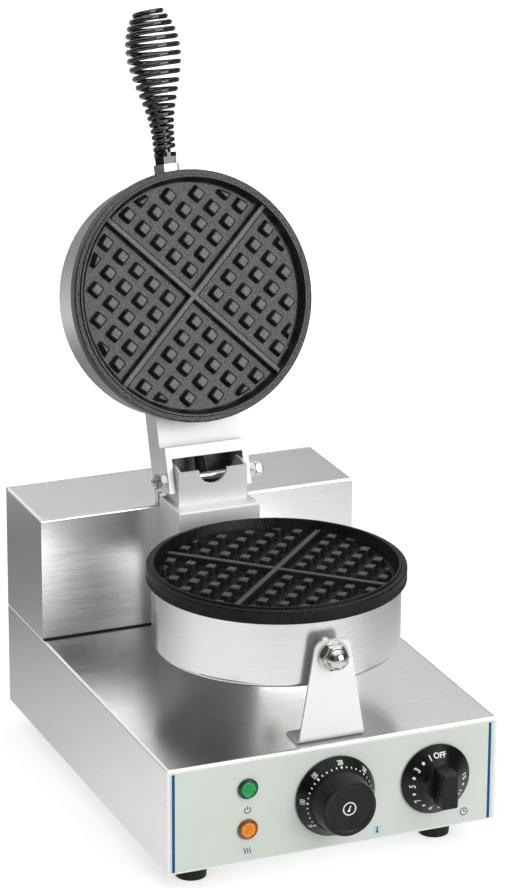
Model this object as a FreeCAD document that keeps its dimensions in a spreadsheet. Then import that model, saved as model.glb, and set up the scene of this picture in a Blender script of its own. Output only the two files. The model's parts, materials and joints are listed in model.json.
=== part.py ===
import FreeCAD
import Part
import Sketcher
import math
import os
import re

# A single electric waffle maker: a folded steel base with two knobs and two lamps, a tower and post
# at the back, a round lower pan on a stud and a conduit, and a lid that swings on one long bolt.
# x runs to the right, y to the back and z up. Lengths are in millimetres, angles in degrees.
# The lid's own pieces are laid out with the lid shut, and then turned open about the hinge bolt.

SIZES = {
    # sheet metal
    "sheet": 1.0,
    "bend_inner": 1.0,
    "lip_width": 12,
    "heavy_sheet": 2.0,
    # base box and tower box
    "base_width": 250,
    "base_depth": 333,
    "base_height": 78.5,
    "tower_depth": 79,
    "tower_height": 94.5,
    "vent_width": 70,
    "vent_height": 4,
    "vent_pitch": 10,
    # rubber feet
    "foot_height": 20,
    "foot_top_radius": 12.5,
    "foot_bottom_radius": 11,
    "foot_side_inset": 31,
    "foot_end_inset": 35,
    "foot_recess_radius": 6,
    "foot_recess_depth": 11,
    # control panel
    "film_thickness": 0.3,
    "film_margin": 2.2,
    "knob_height": 39.5,
    "knob_gap": 0.5,
    "timer_offset": 77,
    "lamp_offset": 65.8,
    "lamp_height": 40.5,
    "lamp_spacing": 30.7,
    "lamp_radius": 7.5,
    "lamp_rim_height": 1.6,
    "lamp_face_radius": 5.2,
    "lamp_face_height": 3.6,
    "lamp_stem_radius": 5,
    "lamp_holder_length": 24,
    "spindle_radius": 3,
    "spindle_seat": 11,
    "thermostat_skirt_radius": 30,
    "thermostat_skirt_height": 9.8,
    "thermostat_cap_radius": 20.3,
    "thermostat_cap_height": 25.5,
    "thermostat_width": 44,
    "thermostat_depth": 26,
    "timer_skirt_radius": 26.3,
    "timer_skirt_height": 9.8,
    "timer_hub_radius": 12,
    "timer_hub_height": 12.5,
    "timer_wing_width": 12.8,
    "timer_wing_length": 27,
    "timer_wing_height": 26.6,
    "timer_width": 46,
    "timer_depth": 34,
    "skirt_edge": 1.5,
    "dish_depth": 0.5,
    "dish_margin": 2.5,
    # hinge post, its bracket and the hinge bolt
    "post_width": 64,
    "post_depth": 40.5,
    "post_rise": 7,
    "bracket_width": 54,
    "bracket_ledge": 13,
    "bracket_plate_height": 26,
    "notch_radius": 11,
    "ear_round": 11,
    "hinge_inset": 12.5,
    "hinge_rise": 17,
    "hinge_bolt_radius": 3,
    "hinge_nut_width": 10,
    "hinge_nut_height": 5,
    "hinge_bolt_spare": 2,
    "spacer_wall": 0.8,
    "lead_radius": 4,
    "grommet_wall": 2,
    # round pans: rim, skirt and drum
    "rim_drop": 22,
    "rim_radius": 93,
    "rim_flat": 4,
    "ridge_width": 1.8,
    "ridge_height": 1.5,
    "skirt_height": 10,
    "drum_radius": 89,
    "drum_bend": 3,
    "pan_depth": 59.2,
    "lid_depth": 51,
    # waffle grid
    "lower_cavity_depth": 10.8,
    "upper_cavity_depth": 8,
    "wall_draft": 2.8,
    "plate_floor": 6,
    "peg_pitch": 15.65,
    "peg_first": 13.45,
    "peg_top": 5.6,
    "peg_base": 9.9,
    "peg_height": 5.8,
    "peg_margin": 2.5,
    "divider_top": 3.6,
    "divider_base": 6.6,
    "lower_plate_turn": 0.8,
    "upper_plate_turn": 1.15,
    # heaters and the studs that hold the plates
    "heater_ring": 58,
    "heater_tube": 4,
    "heater_gap": 30,
    "heater_pin_radius": 2.5,
    "clamp_radius": 72,
    "plate_stud_radius": 4,
    "plate_nut_width": 13,
    "plate_nut_height": 6.5,
    "bulb_radius": 3,
    "bulb_length": 60,
    "bulb_offset": 28,
    # what carries the lower pan
    "stud_drop": 32.5,
    "stud_radius": 5,
    "stud_nut_width": 17,
    "stud_nut_height": 6,
    "cap_dome_height": 7,
    "washer_radius": 11,
    "spacer_radius": 8,
    "front_bracket_setback": 11,
    "front_bracket_top": 25,
    "front_bracket_bottom": 50,
    "front_bracket_rise": 11.5,
    "front_bracket_round": 7,
    "front_bracket_foot": 22,
    "front_bracket_bend": 3,
    "conduit_radius": 8,
    "conduit_bore": 5.5,
    "conduit_nut_width": 24,
    "conduit_nut_height": 5,
    # lid arm
    "lid_lean": 18,
    "lid_reach": 133,
    "closing_gap": 0.4,
    "arm_width": 65,
    "arm_sheet": 1.5,
    "arm_web_setback": 24,
    "arm_frame_setback": 13,
    "arm_back_setback": 47,
    "arm_ledge_reach": 109,
    "arm_strip_width": 8.5,
    "arm_side_strip": 4.5,
    "arm_end_reach": 143,
    "heel_gap": 0.4,
    "heel_setback": 1.5,
    "saddle_height": 18,
    "arm_screw_offset": 18,
    # spring handle
    "handle_setback": 28,
    "collar_width": 17.5,
    "collar_height": 9.6,
    "shank_width": 14.6,
    "shank_height": 5.5,
    "shank_flange_radius": 8.4,
    "shank_flange_height": 3.2,
    "tail_sink": 5.7,
    "handle_stud_radius": 4,
    "wire_diameter": 3.8,
    "coil_turns": 18.4,
    "coil_pitch": 5.6,
    "coil_neck": 17.3,
    "coil_belly": 41.5,
    "coil_tip": 22,
    "coil_end_angle": 325,
    # small fasteners, inlet and clearances
    "screw_radius": 2,
    "screw_head_radius": 3.6,
    "screw_head_height": 2,
    "screw_length": 7,
    "foot_screw_radius": 2.5,
    "foot_nut_width": 8,
    "foot_nut_height": 4,
    "block_width": 44,
    "block_depth": 20,
    "block_height": 17,
    "gland_offset": 45,
    "gland_height": 30,
    "gland_bore": 4,
    "gland_radius": 8,
    "gland_nut_width": 22,
    "gland_length": 20,
    "hole_clearance": 0.2,
    "fit_clearance": 0.05,
    "seat_gap": 0.1,
}

# Places that several pieces share, worked out from the sizes
BASE_TOP = "(foot_height + base_height)"
TOWER_TOP = f"({BASE_TOP} + tower_height)"
TOWER_FRONT = "(base_depth - tower_depth)"
POST_FRONT = f"({TOWER_FRONT} - post_depth)"
POST_TOP = f"({TOWER_TOP} + post_rise)"
BRACKET_FRONT = f"({POST_FRONT} + bracket_ledge)"
BRACKET_PLATE_TOP = f"({POST_TOP} + bracket_plate_height)"
HINGE_Y = f"({BRACKET_FRONT} + hinge_inset)"
HINGE_LEVEL = f"({POST_TOP} + hinge_rise)"
LEAD_Y = f"({HINGE_Y} + hinge_bolt_radius + lead_radius + 1.5)"
PAN_Y = f"({HINGE_Y} - lid_reach)"
RIM = f"({HINGE_LEVEL} - rim_drop)"
LID_RIM = f"({RIM} + 2 * ridge_height + closing_gap)"
STUD_LEVEL = f"({RIM} - stud_drop)"
DRUM_FRONT = f"({PAN_Y} - drum_radius)"
DRUM_BACK = f"({PAN_Y} + drum_radius)"
BRACKET_FACE = f"({DRUM_FRONT} - front_bracket_setback)"
KNOB_LEVEL = "(foot_height + knob_height)"
LAMP_LEVELS = [f"(foot_height + lamp_height {side} lamp_spacing / 2)" for side in "+-"]
FLOOR_TOP = "(foot_height + 2 * sheet)"
PLATE_UNDER = "(ridge_height - lower_cavity_depth - plate_floor)"
RIDGE_OUTER = "(rim_radius - rim_flat)"
RIDGE_INNER = f"({RIDGE_OUTER} - ridge_width)"
FIELD_RADIUS = f"({RIDGE_INNER} - wall_draft)"
CLAMP_TOP = f"({PLATE_UNDER} - 2 * heater_tube - 2 * seat_gap)"
HANDLE_LEVEL = f"({LID_RIM} + handle_setback)"
OVERSHOOT = 1
SHORT_STUD = 9
RUN_OF_BEND = 4.4

FUNCTIONS = {"cos", "sin", "tan", "sqrt", "deg"}
X_AXIS = FreeCAD.Vector(1, 0, 0)
Y_AXIS = FreeCAD.Vector(0, 1, 0)
Z_AXIS = FreeCAD.Vector(0, 0, 1)
TURN_TO = {"x": FreeCAD.Rotation(Y_AXIS, 90), "y": FreeCAD.Rotation(X_AXIS, -90), "z": FreeCAD.Rotation()}
FACING_FRONT = FreeCAD.Rotation(X_AXIS, 90)

doc = FreeCAD.newDocument("waffle_maker")
dims = doc.addObject("Spreadsheet::Sheet", "dims")
for row, (name, size) in enumerate(SIZES.items(), start=1):
    dims.set(f"A{row}", name)
    dims.set(f"B{row}", str(size))
    dims.setAlias(f"B{row}", name)
doc.recompute()

fixed_pieces = []
lid_pieces = []


def ref(text):
    """The expression with each size's name pointing at its cell in the sheet."""
    return re.sub(r"[a-z][a-z_]*", lambda m: m[0] if m[0] in FUNCTIONS else f"dims.{m[0]}", text)


def number(text):
    """What an expression comes to now."""
    return float(dims.evalExpression(ref(text)))


def place(shape, x, y, z):
    for axis, text in zip("xyz", (x, y, z)):
        shape.setExpression(f"Placement.Base.{axis}", ref(text))
    return shape


def about(centre, width):
    """The low and high ends of a width laid evenly about a centre."""
    return f"{centre} - ({width}) / 2", f"{centre} + ({width}) / 2"


def mid(width):
    return about("0", width)


def box(x, y, z):
    """A box between the low and high ends given for each axis."""
    shape = doc.addObject("Part::Box", "box")
    for side, (low, high) in zip(("Length", "Width", "Height"), (x, y, z)):
        shape.setExpression(side, ref(f"({high}) - ({low})"))
    return place(shape, x[0], y[0], z[0])


def along(shape, x, y, z):
    """Lays a shape that stands on z along the one axis given as a pair of ends."""
    ends = {"x": x, "y": y, "z": z}
    axis = next(key for key, value in ends.items() if isinstance(value, tuple))
    low, high = ends[axis]
    shape.setExpression("Height", ref(f"({high}) - ({low})"))
    shape.Placement.Rotation = TURN_TO[axis]
    return place(shape, *[low if key == axis else ends[key] for key in "xyz"])


def rod(radius, x, y, z):
    shape = doc.addObject("Part::Cylinder", "rod")
    shape.setExpression("Radius", ref(radius))
    return along(shape, x, y, z)


def hexagon(across_flats, x, y, z):
    shape = doc.addObject("Part::Prism", "hexagon")
    shape.Polygon = 6
    shape.setExpression("Circumradius", ref(f"({across_flats}) / sqrt(3)"))
    return along(shape, x, y, z)


def cone(low_radius, high_radius, x, y, z):
    shape = doc.addObject("Part::Cone", "cone")
    shape.setExpression("Radius1", ref(low_radius))
    shape.setExpression("Radius2", ref(high_radius))
    return along(shape, x, y, z)


def cut(shape, *tools):
    for tool in tools:
        less = doc.addObject("Part::Cut", "cut")
        less.Base = shape
        less.Tool = tool
        shape = less
    return shape


def fuse(*shapes):
    joined = doc.addObject("Part::MultiFuse", "fuse")
    joined.Shapes = list(shapes)
    return joined


def outline(owner, plane, points):
    """A closed outline of straight edges in a body, with each corner held by two expressions."""
    drawing = owner.newObject("Sketcher::SketchObject", "outline")
    support = next(part for part in owner.Origin.OriginFeatures if part.Role == plane)
    drawing.AttachmentSupport = [(support, "")]
    drawing.MapMode = "FlatFace"
    corners = [FreeCAD.Vector(number(across), number(up), 0) for across, up in points]
    for start, end in zip(corners, corners[1:] + corners[:1]):
        drawing.addGeometry(Part.LineSegment(start, end), False)
    for edge in range(len(points)):
        following = (edge + 1) % len(points)
        drawing.addConstraint(Sketcher.Constraint("Coincident", edge, 2, following, 1))
    for edge, texts in enumerate(points):
        for kind, text in zip(("DistanceX", "DistanceY"), texts):
            held = drawing.addConstraint(Sketcher.Constraint(kind, -1, 1, edge, 1, number(text)))
            drawing.setExpression(f"Constraints[{held}]", ref(text))
    return drawing


def pad(plane, points, length, toward=1):
    """A body made by pushing an outline out of its plane."""
    owner = doc.addObject("PartDesign::Body", "body")
    drawing = outline(owner, plane, points)
    feature = owner.newObject("PartDesign::Pad", "pad")
    feature.Profile = drawing
    feature.Reversed = toward < 0
    feature.setExpression("Length", ref(length))
    return owner


def turned(points):
    """A body turned about z from an outline of radius and height."""
    owner = doc.addObject("PartDesign::Body", "body")
    drawing = outline(owner, "XZ_Plane", points)
    feature = owner.newObject("PartDesign::Revolution", "turned")
    feature.Profile = drawing
    feature.ReferenceAxis = (drawing, ["V_Axis"])
    feature.Angle = 360
    return owner


def block(x, y, z):
    """A box made as a body, so that its edges can be rounded."""
    corners = [(x[0], y[0]), (x[1], y[0]), (x[1], y[1]), (x[0], y[1])]
    return place(pad("XY_Plane", corners, f"({z[1]}) - ({z[0]})"), "0", "0", z[0])


def rounded(owner, radius, chosen):
    """Rounds those edges of a body that the test picks."""
    doc.recompute()
    feature = owner.Tip
    names = [f"Edge{i}" for i, edge in enumerate(feature.Shape.Edges, 1) if chosen(edge)]
    fillet = owner.newObject("PartDesign::Fillet", "fillet")
    fillet.Base = (feature, names)
    fillet.setExpression("Radius", ref(radius))
    return owner


def top_edge(edge):
    level = {round(vertex.Point.z, 3) for vertex in edge.Vertexes}
    return len(level) == 1 and level.pop() > 0


def edge_along(direction):
    def test(edge):
        return abs(edge.tangentAt(edge.FirstParameter).dot(direction)) > 0.99

    return test


def folded_box(x, y, z, back="sheet"):
    """A sheet cover with a bent top edge, open below, with a back wall of the given thickness."""
    outer = rounded(block(x, y, z), "bend_inner + sheet", top_edge)
    inside_x = (f"{x[0]} + sheet", f"{x[1]} - sheet")
    inside_y = (f"{y[0]} + sheet", f"{y[1]} - ({back})")
    inside_z = (f"{z[0]} - {OVERSHOOT}", f"{z[1]} - sheet")
    return cut(outer, rounded(block(inside_x, inside_y, inside_z), "bend_inner", top_edge))


def piece(label, *shapes, at=None, lid=False):
    """Names one sub-part, which may be several equal solids, and keeps it for the hand-over."""
    part = doc.addObject("Part::Compound", label)
    part.Links = list(shapes)
    part.Label = label
    (lid_pieces if lid else fixed_pieces).append((part, at or FreeCAD.Placement()))
    return part


def closed(y, z):
    """Where a point of the open lid lies once the lid is shut."""
    out, up = f"(({y}) - {HINGE_Y})", f"(({z}) - {HINGE_LEVEL})"
    cosine, sine = "cos((90 + lid_lean) * 1 deg)", "sin((90 + lid_lean) * 1 deg)"
    return (
        f"{HINGE_Y} + {out} * {cosine} - {up} * {sine}",
        f"{HINGE_LEVEL} + {out} * {sine} + {up} * {cosine}",
    )


def mirrored(text):
    return [f"-({text})", f"({text})"]


def through(radius, x, y, z):
    """A drill for a hole with the loose clearance."""
    return rod(f"{radius} + hole_clearance", x, y, z)


# Base box
FOOT_SPOTS = [
    (x, y)
    for x in mirrored("base_width / 2 - foot_side_inset")
    for y in ("foot_end_inset", "base_depth - foot_end_inset")
]
LIP_X = mirrored("base_width / 2 - sheet - lip_width / 2")
FLOOR_SCREWS = [(x, y) for x in LIP_X for y in ("base_depth / 5", "base_depth * 4 / 5")]
TOWER_SCREWS = [(x, f"{TOWER_FRONT} + tower_depth * {share}") for x in LIP_X for share in (0.3, 0.7)]
BRACKET_FOOT_Y = f"({BRACKET_FACE} + front_bracket_foot - screw_head_radius - 2)"
BRACKET_SCREWS = [(x, BRACKET_FOOT_Y) for x in mirrored("front_bracket_bottom / 2 - 10")]
WIRE_HOLE_Y = f"({TOWER_FRONT} + tower_depth / 2)"
GLAND = ("(gland_offset - base_width / 2)", "(foot_height + gland_height)")
FRONT_HOLES = [("0", KNOB_LEVEL, "spindle_radius + 2"), ("timer_offset", KNOB_LEVEL, "spindle_radius + 2")]
FRONT_HOLES += [("-lamp_offset", level, "lamp_stem_radius") for level in LAMP_LEVELS]


def lips(y, z, width="base_width"):
    """Inward flanges along both long sides of a cover."""
    inner, outer = f"({width}) / 2 - sheet - lip_width", f"({width}) / 2 - sheet"
    return [box((f"-({outer})", f"-({inner})"), y, z), box((inner, outer), y, z)]


def base_cover():
    shell = folded_box(mid("base_width"), ("0", "base_depth"), ("foot_height", BASE_TOP))
    shell = fuse(shell, *lips(("sheet", "base_depth - sheet"), ("foot_height", "foot_height + sheet")))
    front = ("-" + str(OVERSHOOT), f"sheet + {OVERSHOOT}")
    top = (f"{BASE_TOP} - sheet - {OVERSHOOT}", f"{BASE_TOP} + {OVERSHOOT}")
    bottom = (f"foot_height - {OVERSHOOT}", f"foot_height + sheet + {OVERSHOOT}")
    back = (f"base_depth - sheet - {OVERSHOOT}", f"base_depth + {OVERSHOOT}")
    drills = [through(radius, x, front, z) for x, z, radius in FRONT_HOLES]
    drills += [through("screw_radius", x, y, top) for x, y in TOWER_SCREWS + BRACKET_SCREWS]
    drills += [through("screw_radius", x, y, bottom) for x, y in FLOOR_SCREWS]
    drills += [rod("conduit_radius", "0", WIRE_HOLE_Y, top)]
    drills += [through("gland_radius", GLAND[0], back, GLAND[1])]
    piece("base_cover", cut(shell, *drills))


def base_bottom_plate():
    gap = "(sheet + seat_gap)"
    level = ("foot_height + sheet", FLOOR_TOP)
    plate = box(mid(f"base_width - 2 * {gap}"), (gap, f"base_depth - {gap}"), level)
    drill = (f"foot_height + sheet - {OVERSHOOT}", f"{FLOOR_TOP} + {OVERSHOOT}")
    drills = [through("foot_screw_radius", x, y, drill) for x, y in FOOT_SPOTS]
    drills += [through("screw_radius", x, y, drill) for x, y in FLOOR_SCREWS]
    for row in range(-3, 4):
        y = about(f"base_depth / 2 + vent_pitch * {row}", "vent_height")
        drills.append(box(mid("vent_width"), y, drill))
    piece("base_bottom_plate", cut(plate, *drills))


def feet():
    """Rubber feet under the bottom plate, each held by a screw in a recess and a nut above."""
    top = "foot_height + sheet"
    head = ("foot_recess_depth - foot_nut_height", "foot_recess_depth")
    rubber, screws, nuts = [], [], []
    for x, y in FOOT_SPOTS:
        foot = cone("foot_bottom_radius", "foot_top_radius", x, y, ("0", top))
        recess = rod("foot_recess_radius", x, y, (f"-{OVERSHOOT}", "foot_recess_depth"))
        hole = through("foot_screw_radius", x, y, ("0", f"{top} + {OVERSHOOT}"))
        rubber.append(cut(foot, recess, hole))
        screw_top = f"{FLOOR_TOP} + foot_nut_height + 2"
        shank = rod("foot_screw_radius", x, y, ("foot_recess_depth - foot_nut_height", screw_top))
        screws.append(fuse(shank, rod("foot_recess_radius - 1.5", x, y, head)))
        nut = hexagon("foot_nut_width", x, y, (FLOOR_TOP, f"{FLOOR_TOP} + foot_nut_height"))
        nuts.append(cut(nut, through("foot_screw_radius", x, y, (FLOOR_TOP, screw_top))))
    piece("rubber_feet", *rubber)
    piece("foot_screws", *screws)
    piece("foot_nuts", *nuts)


def upright_screws(spots, seat, up):
    """Pan-head screws along z: the head stands on the seat and the shank goes the other way."""
    screws = []
    for x, y in spots:
        head_ends = (seat, f"{seat} + screw_head_height")
        shank_ends = (f"{seat} - screw_length", seat)
        if not up:
            head_ends = (f"{seat} - screw_head_height", seat)
            shank_ends = (seat, f"{seat} + screw_length")
        head = rod("screw_head_radius", x, y, head_ends)
        screws.append(fuse(head, rod("screw_radius", x, y, shank_ends)))
    return screws


def level_screws(label, spots, seat, front, lid=False):
    """Pan-head screws along y, with the head on the front or the back side of the seat."""
    screws = []
    for x, z in spots:
        head_ends = (seat, f"{seat} + screw_head_height")
        shank_ends = (f"{seat} - screw_length", seat)
        if front:
            head_ends = (f"{seat} - screw_head_height", seat)
            shank_ends = (seat, f"{seat} + screw_length")
        head = rod("screw_head_radius", x, head_ends, z)
        screws.append(fuse(head, rod("screw_radius", x, shank_ends, z)))
    piece(label, *screws, lid=lid)


def front_panel_film():
    """The printed overlay, a thin sheet with its own holes for the spindles and lamps."""
    level = ("foot_height + film_margin / 2", f"{BASE_TOP} - bend_inner - sheet - film_margin / 2")
    skin = box(mid("base_width - 2 * film_margin"), ("-film_thickness", "0"), level)
    drill = (f"-film_thickness - {OVERSHOOT}", str(OVERSHOOT))
    piece("front_panel_film", cut(skin, *[through(r, x, drill, z) for x, z, r in FRONT_HOLES]))


# Tower and post
TOWER_BACK = "(base_depth - sheet)"
BACK_SCREWS = [(x, f"{BASE_TOP} + tower_height * {share}") for x in LIP_X for share in (0.2, 0.8)]
POST_RIVET_X = mirrored("post_width / 2 - sheet - lip_width / 2")
POST_RIVETS = [(x, f"{BASE_TOP} + tower_height * {share}") for x in POST_RIVET_X for share in (0.25, 0.85)]
HINGE_BRACKET_SCREWS = [
    (x, f"{TOWER_FRONT} - screw_head_radius - 3") for x in mirrored("bracket_width / 2 - 10")
]
WIRE_HOLE_LEVEL = f"({BASE_TOP} + tower_height / 2)"


def tower_cover():
    depth, height = (TOWER_FRONT, TOWER_BACK), (BASE_TOP, TOWER_TOP)
    shell = folded_box(mid("base_width"), depth, height, back=f"-{OVERSHOOT}")
    rear_lips = lips((f"{TOWER_BACK} - sheet", TOWER_BACK), (BASE_TOP, f"{TOWER_TOP} - sheet"))
    floor_lips = lips((f"{TOWER_FRONT} + sheet", TOWER_BACK), (BASE_TOP, f"{BASE_TOP} + sheet"))
    shell = fuse(shell, *rear_lips, *floor_lips)
    front = (f"{TOWER_FRONT} - {OVERSHOOT}", f"{TOWER_FRONT} + sheet + {OVERSHOOT}")
    back = (f"{TOWER_BACK} - sheet - {OVERSHOOT}", f"{TOWER_BACK} + {OVERSHOOT}")
    floor = (f"{BASE_TOP} - {OVERSHOOT}", f"{BASE_TOP} + sheet + {OVERSHOOT}")
    drills = [through("screw_radius", x, front, z) for x, z in POST_RIVETS]
    drills += [through("screw_radius", x, back, z) for x, z in BACK_SCREWS]
    drills += [through("screw_radius", x, y, floor) for x, y in TOWER_SCREWS]
    drills += [rod("conduit_radius", "0", front, WIRE_HOLE_LEVEL)]
    piece("tower_cover", cut(shell, *drills))


def tower_back_plate():
    plate = box(mid("base_width"), (TOWER_BACK, "base_depth"), (BASE_TOP, TOWER_TOP))
    drill = (f"{TOWER_BACK} - {OVERSHOOT}", f"base_depth + {OVERSHOOT}")
    drills = [through("screw_radius", x, drill, z) for x, z in BACK_SCREWS]
    for row in range(-2, 3):
        level = about(f"{WIRE_HOLE_LEVEL} + vent_pitch * {row}", "vent_height")
        drills.append(box(mid("vent_width"), drill, level))
    piece("tower_back_plate", cut(plate, *drills))


def hinge_post():
    depth, height = (POST_FRONT, TOWER_FRONT), (BASE_TOP, POST_TOP)
    shell = folded_box(mid("post_width"), depth, height, back=f"-{OVERSHOOT}")
    rear = (f"{TOWER_FRONT} - sheet", TOWER_FRONT)
    shell = fuse(shell, *lips(rear, (BASE_TOP, f"{TOWER_TOP} - sheet"), "post_width"))
    front = (f"{POST_FRONT} - {OVERSHOOT}", f"{POST_FRONT} + sheet + {OVERSHOOT}")
    back = (f"{TOWER_FRONT} - sheet - {OVERSHOOT}", f"{TOWER_FRONT} + {OVERSHOOT}")
    top = (f"{POST_TOP} - sheet - {OVERSHOOT}", f"{POST_TOP} + {OVERSHOOT}")
    drills = [through("screw_radius", x, back, z) for x, z in POST_RIVETS]
    drills += [through("screw_radius", x, y, top) for x, y in HINGE_BRACKET_SCREWS]
    drills += [through("conduit_radius", "0", front, STUD_LEVEL)]
    drills += [rod("lead_radius + grommet_wall", "0", LEAD_Y, top)]
    piece("hinge_post", cut(shell, *drills))


def hinge_bracket():
    """A folded bracket on the post: foot, notched front plate and two ears for the hinge bolt."""
    back = f"({TOWER_FRONT} - {OVERSHOOT})"
    foot_top = f"({POST_TOP} + heavy_sheet)"
    foot = box(mid("bracket_width"), (BRACKET_FRONT, back), (POST_TOP, foot_top))
    plate = box(
        mid("bracket_width"),
        (BRACKET_FRONT, f"{BRACKET_FRONT} + heavy_sheet"),
        (POST_TOP, BRACKET_PLATE_TOP),
    )
    ear_outline = [
        (BRACKET_FRONT, POST_TOP),
        (back, POST_TOP),
        (back, HINGE_LEVEL),
        (f"{HINGE_Y} + ear_round / 2", f"{HINGE_LEVEL} + ear_round"),
        (f"{HINGE_Y} - ear_round / 2", f"{HINGE_LEVEL} + ear_round"),
        (BRACKET_FRONT, BRACKET_PLATE_TOP),
    ]
    ears = []
    for start in ("-bracket_width / 2", "bracket_width / 2 - heavy_sheet"):
        ears.append(place(pad("YZ_Plane", ear_outline, "heavy_sheet"), start, "0", "0"))
    across = (f"-bracket_width / 2 - {OVERSHOOT}", f"bracket_width / 2 + {OVERSHOOT}")
    plate_ends = (f"{BRACKET_FRONT} - {OVERSHOOT}", f"{BRACKET_FRONT} + heavy_sheet + {OVERSHOOT}")
    foot_ends = (f"{POST_TOP} - {OVERSHOOT}", f"{foot_top} + {OVERSHOOT}")
    drills = [rod("hinge_bolt_radius + fit_clearance", across, HINGE_Y, HINGE_LEVEL)]
    drills += [rod("notch_radius", "0", plate_ends, BRACKET_PLATE_TOP)]
    drills += [through("screw_radius", x, y, foot_ends) for x, y in HINGE_BRACKET_SCREWS]
    drills += [rod("lead_radius + grommet_wall", "0", LEAD_Y, foot_ends)]
    piece("hinge_bracket", cut(fuse(foot, plate, *ears), *drills))


def hinge_bolt():
    """One long threaded rod through both ears and both arm flanges, with spacers and paired nuts."""
    flange = "(arm_width / 2 + seat_gap)"
    rod_end = f"({flange} + 2 * hinge_nut_height + hinge_bolt_spare)"
    piece("hinge_bolt", rod("hinge_bolt_radius", (f"-{rod_end}", rod_end), HINGE_Y, HINGE_LEVEL))
    bore = "hinge_bolt_radius + fit_clearance"
    nuts, spacers = [], []
    for step in (0, 1):
        near = f"({flange} + hinge_nut_height * {step})"
        far = f"({near} + hinge_nut_height)"
        for ends in ((f"-{far}", f"-{near}"), (near, far)):
            nut = hexagon("hinge_nut_width", ends, HINGE_Y, HINGE_LEVEL)
            nuts.append(cut(nut, rod(bore, ends, HINGE_Y, HINGE_LEVEL)))
    inner = "(arm_width / 2 - arm_sheet - seat_gap)"
    for ends in ((f"-{inner}", "-bracket_width / 2"), ("bracket_width / 2", inner)):
        sleeve = rod("hinge_bolt_radius + spacer_wall", ends, HINGE_Y, HINGE_LEVEL)
        spacers.append(cut(sleeve, rod(bore, ends, HINGE_Y, HINGE_LEVEL)))
    piece("hinge_nuts", *nuts)
    piece("hinge_spacers", *spacers)


# What carries the lower pan
BRACKET_BACK = f"({BRACKET_FACE} + heavy_sheet)"
NUT_SEAT = "0.6"


def front_bracket():
    """A tapering plate with rounded shoulders, bent to a foot at its lower end."""
    top = f"({STUD_LEVEL} + front_bracket_rise)"
    foot_end = f"({BRACKET_FACE} + front_bracket_foot)"
    strip = pad(
        "YZ_Plane",
        [
            (BRACKET_FACE, BASE_TOP),
            (foot_end, BASE_TOP),
            (foot_end, f"{BASE_TOP} + heavy_sheet"),
            (BRACKET_BACK, f"{BASE_TOP} + heavy_sheet"),
            (BRACKET_BACK, top),
            (BRACKET_FACE, top),
        ],
        "front_bracket_bottom",
    )

    def bend(y, z):
        corner = FreeCAD.Vector(0, number(y), number(z))
        return lambda edge: edge_along(X_AXIS)(edge) and edge.distToShape(Part.Vertex(corner))[0] < 1e-4

    rounded(strip, "front_bracket_bend + heavy_sheet", bend(BRACKET_FACE, BASE_TOP))
    rounded(strip, "front_bracket_bend", bend(BRACKET_BACK, f"{BASE_TOP} + heavy_sheet"))
    place(strip, "-front_bracket_bottom / 2", "0", "0")
    taper = pad(
        "XZ_Plane",
        [
            ("-front_bracket_bottom / 2", BASE_TOP),
            ("front_bracket_bottom / 2", BASE_TOP),
            ("front_bracket_top / 2", top),
            ("-front_bracket_top / 2", top),
        ],
        "front_bracket_foot",
        toward=-1,
    )
    place(taper, "0", BRACKET_FACE, "0")

    def shoulder(edge):
        high = min(vertex.Point.z for vertex in edge.Vertexes) > number(STUD_LEVEL)
        return high and edge_along(Y_AXIS)(edge)

    plate = doc.addObject("Part::Common", "plate")
    plate.Base = strip
    plate.Tool = rounded(taper, "front_bracket_round", shoulder)
    plate_ends = (f"{BRACKET_FACE} - {OVERSHOOT}", f"{BRACKET_BACK} + {OVERSHOOT}")
    foot_ends = (f"{BASE_TOP} - {OVERSHOOT}", f"{BASE_TOP} + heavy_sheet + {OVERSHOOT}")
    drills = [through("stud_radius", "0", plate_ends, STUD_LEVEL)]
    drills += [through("screw_radius", x, y, foot_ends) for x, y in BRACKET_SCREWS]
    piece("front_bracket", cut(plate, *drills))


def pan_stud():
    """A shouldered stud between the bracket and the drum, with a nut inside and a cap nut outside."""
    washer_front = f"({BRACKET_FACE} - heavy_sheet)"
    nut_front = f"({washer_front} - stud_nut_height)"
    inside = f"({DRUM_FRONT} + sheet + {NUT_SEAT})"
    stud_ends = (f"{nut_front} - cap_dome_height / 2", f"{inside} + stud_nut_height")
    stud = rod("stud_radius", "0", stud_ends, STUD_LEVEL)
    shoulder = rod("spacer_radius", "0", (BRACKET_BACK, DRUM_FRONT), STUD_LEVEL)
    piece("pan_stud", fuse(stud, shoulder))
    bore = "stud_radius + fit_clearance"
    inner_ends = (inside, f"{inside} + stud_nut_height")
    inner_nut = hexagon("stud_nut_width", "0", inner_ends, STUD_LEVEL)
    piece("pan_stud_nut", cut(inner_nut, rod(bore, "0", inner_ends, STUD_LEVEL)))
    washer_ends = (washer_front, BRACKET_FACE)
    washer = rod("washer_radius", "0", washer_ends, STUD_LEVEL)
    piece("pan_stud_washer", cut(washer, rod(bore, "0", washer_ends, STUD_LEVEL)))
    dome_radius = "stud_nut_width / 2 - 0.5"
    hollow = rod(bore, "0", (f"{nut_front} - cap_dome_height / 2", washer_front), STUD_LEVEL)
    skirt = hexagon("stud_nut_width", "0", (nut_front, washer_front), STUD_LEVEL)
    ball = doc.addObject("Part::Ellipsoid", "dome")
    ball.setExpression("Radius1", ref("cap_dome_height"))
    ball.setExpression("Radius2", ref(dome_radius))
    ball.setExpression("Radius3", ref(dome_radius))
    ball.Angle2 = 0
    ball.Placement.Rotation = TURN_TO["y"]
    place(ball, "0", nut_front, STUD_LEVEL)
    piece("pan_cap_nut", cut(fuse(skirt, ball), hollow))


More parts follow.
